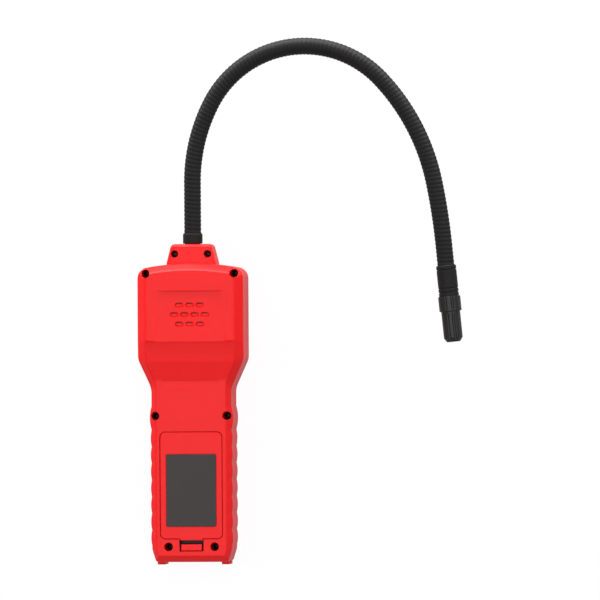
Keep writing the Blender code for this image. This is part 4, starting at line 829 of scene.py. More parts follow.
def stacked(levels):
    """A closed solid from levels of (half outline, height function), mirrored across X."""
    bm = bmesh.new()
    rings = []
    for points, height in levels:
        right = [bm.verts.new((p.x, p.y, height(p.y))) for p in points]
        left = [bm.verts.new((-p.x, p.y, height(p.y))) for p in points[:-1]]
        rings.append((right, left))
    for (right, left), (right_after, left_after) in zip(rings, rings[1:]):
        loop, after = right + left[::-1], right_after + left_after[::-1]
        for i in range(len(loop)):
            j = (i + 1) % len(loop)
            bm.faces.new((loop[i], loop[j], after[j], after[i]))
    for right, left in (rings[0], rings[-1]):
        other = [*left, right[-1]]
        for i in range(len(right) - 1):
            bm.faces.new(list(dict.fromkeys((other[i], right[i], right[i + 1], other[i + 1]))))
    return mesh_of(bm)


def bezier(first, middle, last, steps):
    """Points of a curve between two ends, drawn towards a middle."""
    found = []
    for i in range(steps + 1):
        t = i / steps
        found.append(tuple(
            (1 - t) ** 2 * a + 2 * t * (1 - t) * b + t * t * c for a, b, c in zip(first, middle, last)
        ))
    return found


# Shares of the bevel's run and rise: a flat chamfer with both of its ends rounded
CHAMFER = (
    *bezier((0.0, 0.0), (0.0, 0.13), (0.13, 0.26), 4), *bezier((0.66, 0.79), (0.84, 0.97), (1.0, 1.0), 5),
)
SHELL_CHAMFER = ((0.0, 0.0), (0.07, 0.20), (0.88, 0.93), (1.0, 1.0))
FRONT_ROUND = bezier((0.0, 0.0), (0.0, 1.0), (1.0, 1.0), 5)
SHELL_FRONT = ((0.0, 0.0), (0.25, 0.6), (1.0, 1.0))


def case_body(inset, seam, fine, runs, rim, height):
    """A case half's form from its seam to its face; rim has shares of the bevel's run and rise."""
    levels = [(plan_loop(inset, 0.0, runs, fine, fine), lambda y: seam)]
    for share, rise in rim:
        levels.append((
            plan_loop(inset, share, runs, fine * (1 - share), fine), lambda y, rise=rise: height(y, 1 - rise),
        ))
    return stacked(levels)


def rear_body(inset, seam, fine):
    """The rear half's outer form, or with an inset the form of its hollow."""
    return case_body(
        inset, seam, fine, BEVEL_RUNS, CHAMFER if fine else SHELL_CHAMFER,
        lambda y, fall: roof(y) - inset - fall * drop(y),
    )


def front_body(inset, seam, fine):
    """The front half's outer form, or with an inset the form of its hollow."""
    return case_body(
        inset, seam, fine, FRONT_RUNS, FRONT_ROUND if fine else SHELL_FRONT,
        lambda y, fall: inset + fall * FRONT_BEVEL,
    )


# Housing details

def both_sides(places, radius, low, high, sides=28):
    """Upright cylinders at each place and at its mirror image."""
    return gathered([
        cylinder(radius, (side * x, y, low), (side * x, y, high), sides) for x, y in places for side in (-1, 1)
    ])


def rectangle(x, y, far_x, far_y, radius, steps=6):
    """Anticlockwise points of a rectangle with round corners."""
    points = []
    for centre_x, centre_y, first in (
        (far_x - radius, far_y - radius, 0), (x + radius, far_y - radius, 90),
        (x + radius, y + radius, 180), (far_x - radius, y + radius, 270),
    ):
        for i in range(steps + 1):
            turn = math.radians(first + 90 * i / steps)
            points.append((centre_x + radius * math.cos(turn), centre_y + radius * math.sin(turn)))
    return points


def shrunk(x, y, far_x, far_y, radius, by, steps=6):
    """A rectangle with round corners, moved in on all its sides."""
    return rectangle(x + by, y + by, far_x - by, far_y - by, max(radius - by, 0.0001), steps)


def rounded_plate(x, y, far_x, far_y, radius, low, high, edge, steps=6):
    """A rectangular plate with round corners and a rounded upper rim."""
    def inset(by):
        return shrunk(x, y, far_x, far_y, radius, by, steps)
    return plate(inset(0.0), low, high, edge, inset)


def wall_frame(outer, inner, low, high):
    """A rectangular frame; outer and inner are (x, y, far x, far y) rectangles."""
    outside, inside = corners_of(*outer), corners_of(*inner)
    return lofted(((outside, low), (outside, high), (inside, high), (inside, low)), closed=True)


def bay(margin=0.0):
    return (-BAY_HALF_WIDTH - margin, BAY_START - margin, BAY_HALF_WIDTH + margin, BAY_END + margin)


def collar_block(sign):
    """Half of the collar: a tapered block with a rounded bevel away from the seam."""
    base_y = CROWN_Y + 0.0004
    corners = [
        Vector((0.0, CROWN_Y - COLLAR_ROOT)), Vector((COLLAR_BASE / 2, CROWN_Y - COLLAR_ROOT)),
        Vector((COLLAR_BASE / 2, base_y)), Vector((COLLAR_TOP / 2, COLLAR_END)), Vector((0.0, COLLAR_END)),
    ]
    face = SEAM + sign * COLLAR_DEPTH / 2
    levels = [(0.0, SEAM + sign * GAP / 2)]
    for share, rise in bezier((0.0, 0.0), (0.2, 0.8), (1.0, 1.0), 5):
        levels.append((share * COLLAR_BEVEL, face - sign * (1 - rise) * COLLAR_BEVEL))
    rings = []
    for inset, z in levels:
        moved = inset_corners(corners, (0.0, inset, inset, inset))
        points = with_arcs(moved, (FLAT_ARC, FLAT_ARC, 0.0026 - inset / 2), (1, 1, 6), {})
        right = [(p.x, p.y, z) for p in points]
        rings.append(right[1:-1] + [(-x, y, z) for x, y, z in reversed(right[1:-1])])
    return rings_to_mesh(rings)


def neck_bores():
    """What the base ferrule takes out of the collar: a bore for its spigot and a pocket for its flange."""
    spigot, flange, flange_y = 0.0048, 0.0073, COLLAR_END - 0.0135

    def hole(radius, low, high):
        return cylinder(radius, (0, low, SEAM), (0, high, SEAM), 36)
    bores = gathered((
        hole(spigot, flange_y + 0.0015, COLLAR_END + WALL),
        hole(spigot, CROWN_Y - 2 * COLLAR_ROOT, flange_y - 0.001),
    ))
    return bores, hole(flange, flange_y - GAP, flange_y + 0.0020 + GAP)


def feet(low, high):
    half = FOOT_SIZE[0] / 2
    spread = BUTT_WIDTH / 2 - FOOT_INSET
    far = -FOOT_SIZE[1]
    near = BUTT_TAPER / 2
    outline = ((far, low + 0.0006), (near, low), (near, high), (0.0002, high), (far, high - 0.0016))
    return gathered([side_profile(outline, side * spread - half, side * spread + half) for side in (-1, 1)])


def sound_field():
    """The shallow field round the sound outlet: sloping sides, cut upper corners and a floor that rises."""
    top, low = CROWN_Y - PAD_BELOW_CROWN, SLOPE_END - 0.0012
    rings = []
    for depth, grow in ((PAD_DEPTH, 0.0), (-PAD_DEPTH, 2.0)):
        half = PAD_WIDTH / 2 - PAD_SIDE_RUN + grow * PAD_SIDE_RUN
        upper = top + grow * PAD_DEPTH / 3
        corners = (
            (-half, low), (half, low), (half, upper - PAD_CORNER), (half - PAD_CORNER, upper),
            (-half + PAD_CORNER, upper), (-half, upper - PAD_CORNER),
        )
        rise = 0.0 if grow else 0.6 * PAD_DEPTH
        rings.append([(x, y, HEAD_DEPTH - depth + rise * (upper - y) / (upper - low)) for x, y in corners])
    return rings_to_mesh(rings)


def crease_steps():
    """Low steps at the upper and the lower edge of the slope, with their risers facing down it."""
    cuts = []
    for y, half, deep, fade in CREASE_STEPS:
        foot, above = y - CREASE_RUN, roof(y) + WALL
        cuts.append(side_profile((
            (y, roof(y)), (foot, roof(foot) - deep), (y - fade, roof(y - fade)), (y - fade, above), (y, above),
        ), -half, half))
    return gathered(cuts)


def louvre_places():
    for row, count in enumerate(LOUVRE_ROWS):
        for i in range(count):
            yield (i - (count - 1) / 2) * LOUVRE_PITCH[0], SPEAKER_Y + (1 - row) * LOUVRE_PITCH[1]


def louvre_dish(x, y):
    """The rounded scoop of one louvre: deepest along its upper edge and running out at its foot."""
    width, height, depth, _ = LOUVRE
    field = HEAD_DEPTH - PAD_DEPTH
    levels = []
    for share, sink in ((1.0, -0.5), (1.0, 0.0), (0.94, 0.35), (0.82, 0.75), (0.7, 1.0)):
        half_x, half_y = width / 2 * share, height / 2 * share
        loop = rectangle(x - half_x, y - half_y, x + half_x, y + half_y, half_y * 0.9, 4)
        levels.append(([(a, b + (1 - share) * height * 0.35) for a, b in loop], field - sink * depth))
    return lofted(levels)


def louvre_slit(x, y):
    """The narrow way to the inside under the upper edge of one louvre."""
    width, height, depth, slit = LOUVRE
    half_x = width / 2 - height / 3
    top = y + height / 2 - slit / 3
    field = HEAD_DEPTH - PAD_DEPTH
    return box((x - half_x, top - slit, field - 2 * WALL), (x + half_x, top, field - depth / 2))


def latch_rows():
    """The y places of the snap tab's foot, of its lip and of the notch's end."""
    tab_foot = DOOR_START - TAB_REACH
    lip_top = tab_foot - LATCH_SLOT
    lip_foot = lip_top - LATCH_LIP
    return tab_foot, lip_top, lip_foot, lip_foot - NOTCH_MARGIN


def rear_hollow():
    """The inside of the rear half, less the bosses, bay walls, flange, rings and pads that stand in it."""
    rim = DOOR_WIDTH / 2 + SEAT_RIM
    flange = wall_frame(
        (-rim, DOOR_START - 0.7 * SEAT_RIM, rim, max(DOOR_END, BAY_END) + SEAT_RIM), (*bay()[:3], MOUTH_END),
        SEAT_Z - WALL, FAR,
    )
    latch_pad = slab(
        TAB_WIDTH / 2 + GAP + WALL / 2, latch_rows()[3] - WALL / 2, BAY_START - BAY_WALL / 2,
        GRIP_DEPTH - LATCH_DEPTH - WALL, FAR,
    )
    inner = SPEAKER_RADIUS + GAP
    outer, ring_low = inner + 0.0012, HEAD_DEPTH - WALL - 0.0075
    ring = rings_to_mesh([
        ring_round(Vector((0, SPEAKER_Y, z)), Vector((0, 0, 1)), [radius] * 40)
        for radius, z in ((inner, ring_low), (outer, ring_low), (outer, FAR), (inner, FAR))
    ], closed=True)
    reach = 1.9 * LOUVRE_PITCH[1]
    pad = slab(PAD_WIDTH / 3, SPEAKER_Y - reach, SPEAKER_Y + reach, HEAD_DEPTH - WALL - PAD_DEPTH, FAR)
    block = slab(COLLAR_BASE / 2, CROWN_Y - COLLAR_ROOT, CROWN_Y, 0.0, SEAM + COLLAR_DEPTH / 2)
    bosses = both_sides(CASE_SCREWS, BOSS_RADIUS, 0.0, FAR)
    walls = wall_frame(bay(BAY_WALL), bay(), 0.0, FAR)
    return carved(
        rear_body(WALL, SEAM - WALL, False), cut=(bosses, walls, flange, latch_pad, ring, pad, block),
    )


def door_cuts():
    """The stepped opening of the battery bay, the latch notch and the pockets for the door's lugs."""
    half = DOOR_WIDTH / 2 + GAP
    seat = rectangle(-half, DOOR_START - GAP, half, DOOR_END + GAP, DOOR_CORNER + GAP)
    spread, width, reach, thickness = LUG
    lug = width / 2 + GAP
    pockets = gathered([
        box(
            (side * spread - lug, BAY_END - 2 * WALL, GRIP_DEPTH - WALL - 2 * thickness - GAP),
            (side * spread + lug, DOOR_END + reach + GAP, GRIP_DEPTH - WALL + GAP / 3),
        )
        for side in (-1, 1)
    ])
    return (
        plate(seat, SEAT_Z, FAR), slab(BAY_HALF_WIDTH, BAY_START, MOUTH_END, SEAT_Z - 2 * WALL, FAR),
        slab(TAB_WIDTH / 2 + GAP, latch_rows()[3], DOOR_START + WALL, GRIP_DEPTH - LATCH_DEPTH, FAR), pockets,
    )


def build_rear_case():
    """The rear half, with its wells, battery opening and sound outlet."""
    seat, collar_seat = SEAM + SEAT_ABOVE_SEAM, SEAM + COLLAR_SEAT_ABOVE_SEAM
    mesh = carved(
        rear_body(0.0, SEAM + GAP / 2, True), joined=(collar_block(1), feet(*REAR_FOOT)),
        cut=(
            rear_hollow(), *neck_bores(), both_sides(CASE_SCREWS, WELL_RADIUS, seat, FAR),
            both_sides(CASE_SCREWS, SCREW_HOLE, 0.0, seat + 0.001),
            both_sides(COLLAR_SCREWS, COLLAR_WELL_RADIUS, collar_seat, FAR),
            both_sides(COLLAR_SCREWS, COLLAR_SCREW_HOLE, 0.0, collar_seat + 0.001),
            *door_cuts(), sound_field(), crease_steps(),
            gathered(louvre_dish(x, y) for x, y in louvre_places()),
            gathered(louvre_slit(x, y) for x, y in louvre_places()),
        ),
    )
    piece("rear_case_shell", placed(mesh), "red_abs", "housing", ("rear_case",))


def node_rectangle(name, margin=0.0):
    """A node's rectangle in X and y, in housing distances."""
    low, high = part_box(name)
    return low[0] - margin, low[1] + REST_POINT - margin, high[0] + margin, high[1] + REST_POINT + margin


KEYS = ("minus_key", "plus_key", "power_key", "mute_key")


def key_rectangle(name, margin=0.0):
    return node_rectangle(name, margin - FLANGE_MARGIN)


def board_posts():
    radius, pin, inset, pin_length = POST
    x, y, far_x, far_y = node_rectangle("main_board", -inset)
    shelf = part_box("main_board")[0][2] - GAP
    tip = shelf + GAP + pin_length
    profile = ((0, 0), (radius, 0), (radius, shelf), (pin, shelf), (pin, tip), (0, tip))
    return [turned(profile, (a, b, 0.0), (0, 0, 1), 20) for a in (x, far_x) for b in (y, far_y)]


def build_front_case():
    """The front half, with its control tray, its posts and the pilot holes of its bosses."""
    inner, margin = TRAY_DEPTH + WALL, 0.0015
    tray_end = TRAY_START + TRAY_LENGTH
    backing = slab(TRAY_WIDTH / 2 + margin, TRAY_START - margin, tray_end + margin, -FAR, inner)
    block = slab(COLLAR_BASE / 2, CROWN_Y - COLLAR_ROOT, CROWN_Y, SEAM - COLLAR_DEPTH / 2, FAR)
    bosses = both_sides(CASE_SCREWS, BOSS_RADIUS, -FAR, FAR)
    walls = wall_frame(bay(BAY_WALL), bay(), -FAR, FAR)
    hollow = carved(
        front_body(WALL, SEAM + WALL, False), cut=(bosses, walls, backing, gathered(board_posts()), block),
    )
    tray = rectangle(-TRAY_WIDTH / 2, TRAY_START, TRAY_WIDTH / 2, tray_end, TRAY_RADIUS, 8)
    holes = [rectangle(*key_rectangle(name, GAP), 0.0018, 5) for name in KEYS]
    holes.append(rectangle(*node_rectangle("level_window", GAP - FLANGE_MARGIN), 0.0013, 5))
    mesh = carved(
        front_body(0.0, SEAM - GAP / 2, True), joined=(collar_block(-1), feet(*FRONT_FOOT)),
        cut=(
            hollow, *neck_bores(), both_sides(CASE_SCREWS, SCREW_HOLE, SEAM - 0.0096, FAR),
            both_sides(COLLAR_SCREWS, COLLAR_SCREW_HOLE, SEAM - 0.0056, FAR), plate(tray, -FAR, TRAY_DEPTH),
            gathered(plate(hole, 0.0, inner + WALL) for hole in holes),
        ),
    )
    piece("front_case_shell", placed(mesh), "red_abs", "housing", ("front_case",))


# Battery door

def side_profile(points, low_x, high_x):
    """A side profile of (y, z) points, given a width along X."""
    return rings_to_mesh([[(x, y, z) for y, z in points] for x in (low_x, high_x)])


def build_door():
    """The door with its rounded rim, snap tab, lugs and panel seat, and the blank panel on it."""
    half = DOOR_WIDTH / 2
    under = GRIP_DEPTH - DOOR_THICKNESS
    tab_foot, lip_top, lip_foot, _ = latch_rows()
    web = LATCH_WEB
    leg = tab_foot + web / 3
    floor = GRIP_DEPTH - LATCH_DEPTH + GAP
    latch = rounded((
        (leg + web, under + web / 2), (leg, under + web / 2), (leg, floor + web), (lip_top, floor + web),
        (lip_top, GRIP_DEPTH), (lip_foot, GRIP_DEPTH), (lip_foot, floor), (leg + web, floor),
    ), 0.0005, 3, keep=(1, 6))
    tab = rounded_plate(
        -TAB_WIDTH / 2, tab_foot, TAB_WIDTH / 2, DOOR_START + WALL, 0.0006, under, GRIP_DEPTH, DOOR_EDGE,
    )
    spread, width, reach, thickness = LUG
    lug_top = GRIP_DEPTH - WALL - GAP
    root, bend, end = DOOR_END - WALL, DOOR_END - WALL / 4, DOOR_END + reach
    lug = (
        (root, lug_top - thickness), (end, lug_top - thickness), (end, lug_top), (bend, lug_top),
        (bend, under + web / 2), (root, under + web / 2),
    )
    lugs = [side_profile(lug, side * spread - width / 2, side * spread + width / 2) for side in (-1, 1)]
    rib_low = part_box("cell_upper_left")[1][2] + GAP
    ribs = [
        box((x - 0.0005, BAY_START + 0.006, rib_low), (x + 0.0005, DOOR_END - 0.012, under + 0.0003))
        for x in (-CELL_RADIUS - GAP / 2, CELL_RADIUS + GAP / 2)
    ]
    label = node_rectangle("rear_label")
    label_low, label_high = (corner[2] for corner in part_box("rear_label"))
    seat = rectangle(*node_rectangle("rear_label", GAP), 0.0011, 4)
    mesh = carved(
        rounded_plate(-half, DOOR_START, half, DOOR_END, DOOR_CORNER, under, GRIP_DEPTH, DOOR_EDGE, 10),
        joined=(tab, side_profile(latch, -LATCH_WIDTH / 2, LATCH_WIDTH / 2), gathered(lugs), gathered(ribs)),
        cut=(plate(seat, label_low - GAP, FAR),),
    )
    piece("door_shell", placed(mesh), "red_abs", "door", ("battery_door",))
    film = rounded_plate(*label, 0.0008, label_low, label_high, 0.00012, 6)
    piece("blank_panel", placed(film), "panel_film", "door", ("rear_label",))


# Screws

CASE_SCREW = (0.0022, 0.0019, 0.0012)  # radius of the head, its height and the radius of the shank
COLLAR_SCREW = (0.00185, 0.0015, 0.00095)
THREAD_PITCH = 0.0009


def build_screws():
    """Pan-head screws with a cross recess and a threaded shank, at the bottom of the wells."""
    for name in nodes_with("_screw_"):
        low, high = node_corners(name)
        centre = (low + high) / 2
        radius, head, shank = COLLAR_SCREW if name.startswith("collar") else CASE_SCREW
        seat, core = high.z - head, shank * 0.8
        profile = [(0.0, low.z), (shank * 0.35, low.z), (core, low.z + shank)]
        place = low.z + 1.4 * shank
        while place < seat - 2 * THREAD_PITCH:
            profile += [(core, place), (shank, place + 0.3 * THREAD_PITCH), (core, place + 0.6 * THREAD_PITCH)]
            place += THREAD_PITCH
        profile += [(shank * 0.85, seat), (radius * 0.96, seat), (radius, seat + head * 0.15)]
        for step in range(1, 7):
            turn = step * math.pi / 12
            across = radius * math.cos(turn) if step < 6 else 0.0
            profile.append((across, seat + head * (0.4 + 0.6 * math.sin(turn))))
        solid = turned(profile, (centre.x, centre.y, 0.0), (0, 0, 1), 32)
        arm, half, deep = radius * 0.58, radius * 0.15, head * 0.55
        recess = [
            lofted([
                (corners_of(centre.x - a * k, centre.y - b * k, centre.x + a * k, centre.y + b * k), z)
                for k, z in ((0.45, high.z - deep), (1.0, high.z), (1.0, high.z + WALL))
            ])
            for a, b in ((arm, half), (half, arm))
        ]
        piece(f"{name}_detail", carved(solid, cut=recess), "black_oxide", "housing", (name,))


# Neck

def neck_at(s):
    """Point and direction of the neck's centreline at a distance s past the base ferrule."""
    point = Vector((0.0, NECK_START, SEAM))
    heading = 0.0
    for i, (length, turn) in enumerate(NECK_STRETCHES):
        last = i == len(NECK_STRETCHES) - 1
        step = s if last else min(s, length)
        if turn == 0.0:
            point = point + step * Vector((math.sin(heading), math.cos(heading), 0.0))
        else:
            radius = length / math.radians(turn)
            after = heading + step / radius
            point = point + radius * Vector((
                math.cos(heading) - math.cos(after), math.sin(after) - math.sin(heading), 0.0,
            ))
            heading = after
        s -= step
        if s <= 0:
            break
    return point, Vector((math.sin(heading), math.cos(heading), 0.0))


NECK_RADIUS = 0.00495
NECK_SIDES = 28
STEPS_PER_RIB = 10


def ribbed_neck(start, end):
    """A stretch of the neck whose ribs wind round it as one spiral."""
    sizes = bpy.context.scene.detector_sizes
    pitch, depth = sizes.rib_pitch, sizes.rib_depth
    count = round((end - start) / pitch * STEPS_PER_RIB)
    rings = []
    for step in range(count + 1):
        s = start + (end - start) * step / count
        phases = (2 * math.pi * (s / pitch - i / NECK_SIDES) for i in range(NECK_SIDES))
        radii = [NECK_RADIUS - depth * (0.5 - 0.5 * math.cos(phase)) ** 2 for phase in phases]
        rings.append(ring_round(*neck_at(s), radii))
    return rings_to_mesh(rings)


def build_neck():
    """Nine ribbed stretches of the neck, each standing for a link and the flex after it."""
    length = NECK_LENGTH / NECK_BENDS
    for i in range(NECK_BENDS):
        start = i * length if i else -NECK_SEAT
        end = (i + 1) * length if i < NECK_BENDS - 1 else NECK_LENGTH + NECK_SEAT
        joint = (i + 0.5) * length
        nodes = [f"neck_length_{i}", f"neck_flex_{i + 1}"]
        if i == NECK_BENDS - 1:
            nodes.append(f"neck_length_{i + 1}")
        stretch = piece(
            f"neck_stretch_{i + 1}", ribbed_neck(start, end), "neck_sheath", None, nodes, 60.0,
        )
        tuple(neck_at(joint - BEND_REACH)[0])
        tuple(neck_at(joint + BEND_REACH)[0])
        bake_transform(stretch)


def build_base_ferrule():
    """The ferrule that the collar clamps, with its flange inside."""
    low, high = node_corners("neck_base_ferrule")
    size = high.y - low.y
    barrel, spigot, flange, wire, seat = 0.0057, 0.0045, 0.0070, 0.0020, NECK_RADIUS + GAP
    foot = COLLAR_END - REST_POINT + GAP - low.y
    profile = rounded((
        (wire, 0.001), (wire, 0.0), (flange, 0.0), (flange, 0.002), (spigot, 0.002), (spigot, foot),
        (barrel, foot), (barrel, size - 0.0009), (barrel - 0.0005, size), (seat, size), (seat, size - 0.005),
        (wire, size - 0.005), (wire, 0.002),
    ), 0.00035)
    ferrule = turned(profile, (0.0, low.y, SEAM), (0, 1, 0))
    piece("base_ferrule_detail", ferrule, "ferrule_plastic", "housing", ("neck_base_ferrule",))


# Tip

TIP_LENGTH = 0.0180
GROOVES = (0.0026, TIP_LENGTH - 0.0046, TIP_LENGTH - 0.0022)
CAP_LENGTH = 0.0265
CAP_BAND_LENGTH = 0.0087
CAP_BAND_RADIUS = 0.00645
CAP_RADIUS = 0.0055
CAP_BORE_RADIUS = 0.0045
CAP_NOSE = 0.0024
CAP_WALL = 0.0020
CAP_FLUTES = 10
CAP_VENTS = 6
FLUTE_OFFSET = 0.18  # share of its radius that a flute stands out


def build_tip_ferrule():
    """The grooved ferrule that holds the sensor's socket."""
    start, along = neck_at(NECK_LENGTH)
    barrel, seat, socket, wire = 0.0058, NECK_RADIUS + GAP, 0.0044, 0.0020
    profile = [(seat, 0.0015), (seat, 0.0), (barrel - 0.0005, 0.0), (barrel, 0.0005)]
    for place in GROOVES:
        profile += [
            (barrel, place - 0.00035), (barrel - 0.00035, place - 0.0002), (barrel - 0.00035, place + 0.0002),
            (barrel, place + 0.00035),
        ]
    profile += [
        (barrel, TIP_LENGTH), (socket, TIP_LENGTH), (socket, TIP_LENGTH - 0.0083), (wire, TIP_LENGTH - 0.0083),
        (wire, 0.005), (seat, 0.005), (seat, 0.003),
    ]
    ferrule = turned(rounded(profile, 0.0002), start, along)
    piece("tip_ferrule_detail", ferrule, "ferrule_plastic", "neck_9", ("tip_ferrule",))


def build_sensor():
    """The sensor under the cap, with its gauze."""
    start, along = neck_at(NECK_LENGTH)
    face = start + (TIP_LENGTH - 0.008 + 0.017 + GAP) * along
    radius, length = 0.0037, 0.0080
    sensor = turned(rounded((
        (0.0, 0.0), (radius, 0.0), (radius, 0.0007), (radius - 0.0003, 0.0009), (radius - 0.0003, length),
        (0.0, length),
    ), 0.0005), face, along)
    piece("sensor_gauze", sensor, "gauze", "neck_9", ("sensor_element",))


def build_cap():
    """The sensor cap: a grip band and a barrel with flutes, and vents in its nose."""
    start, along = neck_at(NECK_LENGTH)
    start += (TIP_LENGTH + GAP / 6) * along
    band, barrel, bore, nose, wall = CAP_BAND_RADIUS, CAP_RADIUS, CAP_BORE_RADIUS, CAP_NOSE, CAP_WALL
    profile = rounded((
        (bore, 0.002), (bore, 0.0), (band, 0.0), (band, CAP_BAND_LENGTH), (barrel, CAP_BAND_LENGTH),
        (barrel, CAP_LENGTH - nose), (barrel - 0.7 * nose, CAP_LENGTH), (0.0008, CAP_LENGTH),
        (0.0008, CAP_LENGTH - wall), (bore - 0.7 * nose, CAP_LENGTH - wall), (bore, CAP_LENGTH - wall - nose),
        (bore, 0.004),
    ), 0.0004)

    def bores(radius, reach, count, low, high, sides):
        """Long cylinders in a circle round the cap's axis."""
        return [
            cylinder(radius, spot + low * along, spot + high * along, sides)
            for spot in ring_round(start, along, [reach] * count)
        ]
    flute = bpy.context.scene.detector_sizes.flute_radius
    flutes = []
    for reach, low, high in (
        (band, -0.0005, CAP_BAND_LENGTH - 0.0013), (barrel, CAP_BAND_LENGTH + 0.0014, CAP_LENGTH + 0.0005),
    ):
        flutes += bores(flute, reach + flute * FLUTE_OFFSET, CAP_FLUTES, low, high, 20)
    vents = bores(0.0007, 0.0022, CAP_VENTS, CAP_LENGTH - 2 * wall, CAP_LENGTH + wall, 16)
    mesh = carved(turned(profile, start, along, 60), cut=(gathered(flutes), gathered(vents)))
    piece("sensor_cap_detail", mesh, "black_plastic", "cap", ("sensor_cap",))


# Front controls

RING_TURNS = [math.radians(130 + 280 * i / 20) for i in range(21)]
POWER_RING = [
    (radius * math.cos(turn), radius * math.sin(turn))
    for radius, turns in ((0.0018, RING_TURNS), (0.0013, RING_TURNS[::-1])) for turn in turns
]
HORN = (
    (-0.0019, -0.0005), (-0.0010, -0.0005), (0.0002, -0.0015), (0.0002, 0.0015), (-0.0010, 0.0005),
    (-0.0019, 0.0005),
)
# The sign of each key: outlines, then bars of (width, height, x, y, degrees)
SIGNS = {
    "minus_key": ((), ((0.0034, 0.0006, 0.0, 0.0, 0),)),
    "plus_key": ((), (
        (0.0034, 0.0006, 0.0, 0.0, 0), (0.0006, 0.0013, 0.0, 0.00105, 0), (0.0006, 0.0013, 0.0, -0.00105, 0),
    )),
    "power_key": ((POWER_RING,), ((0.0005, 0.0018, 0.0, 0.0013, 0),)),
    "mute_key": ((HORN,), (
        (0.0020, 0.0004, 0.0015, 0.0, 45), (0.0007, 0.0004, 0.0010, 0.0005, -45),
        (0.0007, 0.0004, 0.0020, -0.0005, -45),
    )),
}
SIGN_LOW, SIGN_HIGH = TRAY_DEPTH - 0.00078, TRAY_DEPTH - 0.0006
# Faces of the keys and of the window, as (inset, height) from the middle outwards
KEY_DOME = ((0.0009, 0.0), (0.0004, 0.00008), (0.0001, 0.0003), (0.0, 0.0007))
LENS_EDGE = ((0.0004, 0.0), (0.0001, 0.0001), (0.0, 0.0003))
CAP_FLANGE = TRAY_DEPTH + WALL + GAP  # where the flange of a key or of the window begins


def sign(name, x, y):
    """The raised sign of a key, in flat plates: minus, plus, a power ring or a struck-out horn."""
    outlines, bars = SIGNS[name]
    found = [plate([(x + a, y + b) for a, b in points], SIGN_LOW, SIGN_HIGH) for points in outlines]
    for width, height, dx, dy, turn in bars:
        cosine, sine = math.cos(math.radians(turn)), math.sin(math.radians(turn))
        found.append(plate([
            (x + dx + cosine * a - sine * b, y + dy + sine * a + cosine * b)
            for a, b in corners_of(-width / 2, -height / 2, width / 2, height / 2)
        ], SIGN_LOW, SIGN_HIGH))
    return gathered(found)


def flanged_cap(name, radius, levels, flange_radius):
    """A cap that stands through the tray, from (inset, height) levels over its face, and its flange inside."""
    low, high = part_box(name)
    rings = [(shrunk(*key_rectangle(name), radius, by), low[2] + height) for by, height in levels]
    rings.append((rings[-1][0], CAP_FLANGE + 0.0005))
    flange = plate(rectangle(*node_rectangle(name), flange_radius), CAP_FLANGE, high[2])
    return placed(carved(lofted(rings), joined=(flange,)))


def build_keys():
    """Four soft keys with raised signs."""
    for name in KEYS:
        x, y, far_x, far_y = key_rectangle(name)
        cap = flanged_cap(name, 0.0015, KEY_DOME, 0.0027)
        piece(f"{name}_cap", cap, "key_rubber", f"{name}_body", (name,))
        raised = placed(sign(name, (x + far_x) / 2, (y + far_y) / 2))
        piece(f"{name}_sign", raised, "key_ink", f"{name}_body", ())


def build_window():
    """The smoked window over the indicator lamps."""
    lens = flanged_cap("level_window", 0.001, LENS_EDGE, 0.0022)
    piece("window_lens", lens, "smoked_lens", "housing", ("level_window",))


# Inside

CHIPS = ((0.0, 0.0310, 0.0100, 0.0070), (-0.0110, 0.0250, 0.0050, 0.0040), (0.0115, 0.0390, 0.0045, 0.0060))
LAMPS = 7


def build_board():
    """The circuit board with its chips and indicator lamps."""
    low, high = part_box("main_board")
    x, y, far_x, far_y = node_rectangle("main_board")
    bottom, top = 0.0100, 0.0116
    radius, pin, inset, _ = POST
    holes = gathered(
        cylinder(pin + GAP, (a, b, 0.0), (a, b, FAR), 20)
        for a in (x + inset, far_x - inset) for b in (y + inset, far_y - inset)
    )
    board = carved(rounded_plate(x, y, far_x, far_y, 0.002, bottom, top, 0.0001, 5), cut=(holes,))
    piece("circuit_board", placed(board), "solder_mask", "housing", ("main_board",))
    chips = gathered([
        rounded_plate(
            cx - w / 2, y + cy - h / 2, cx + w / 2, y + cy + h / 2, 0.0003, top - 0.0002, top + 0.0011,
            0.0001, 3,
        )
        for cx, cy, w, h in CHIPS
    ])
    piece("chips", placed(chips), "chip_epoxy", "housing", ())
    window = node_rectangle("level_window")
    lamp_y = (window[1] + window[3]) / 2
    pitch = 0.0270 / LAMPS
    foot = bottom + 0.0003
    bulb = rounded(((0.0, low[2]), (0.0013, low[2]), (0.0013, foot), (0.0, foot)), 0.0006)
    lamps = gathered([
        turned(bulb, ((i - (LAMPS - 1) / 2) * pitch, lamp_y, 0.0), (0, 0, 1), 20) for i in range(LAMPS)
    ])
    piece("indicator_lamps", placed(lamps), "lamp_resin", "housing", ())


def dress_small_parts():
    """The CAD's own shapes of the contacts, the switches, the speaker and the sensor's socket stay."""
    for name in nodes_with("contact_"):
        dress(name, "nickel")
    for name in (*nodes_with("_switch"), "speaker", "sensor_socket"):
        dress(name, "black_plastic")


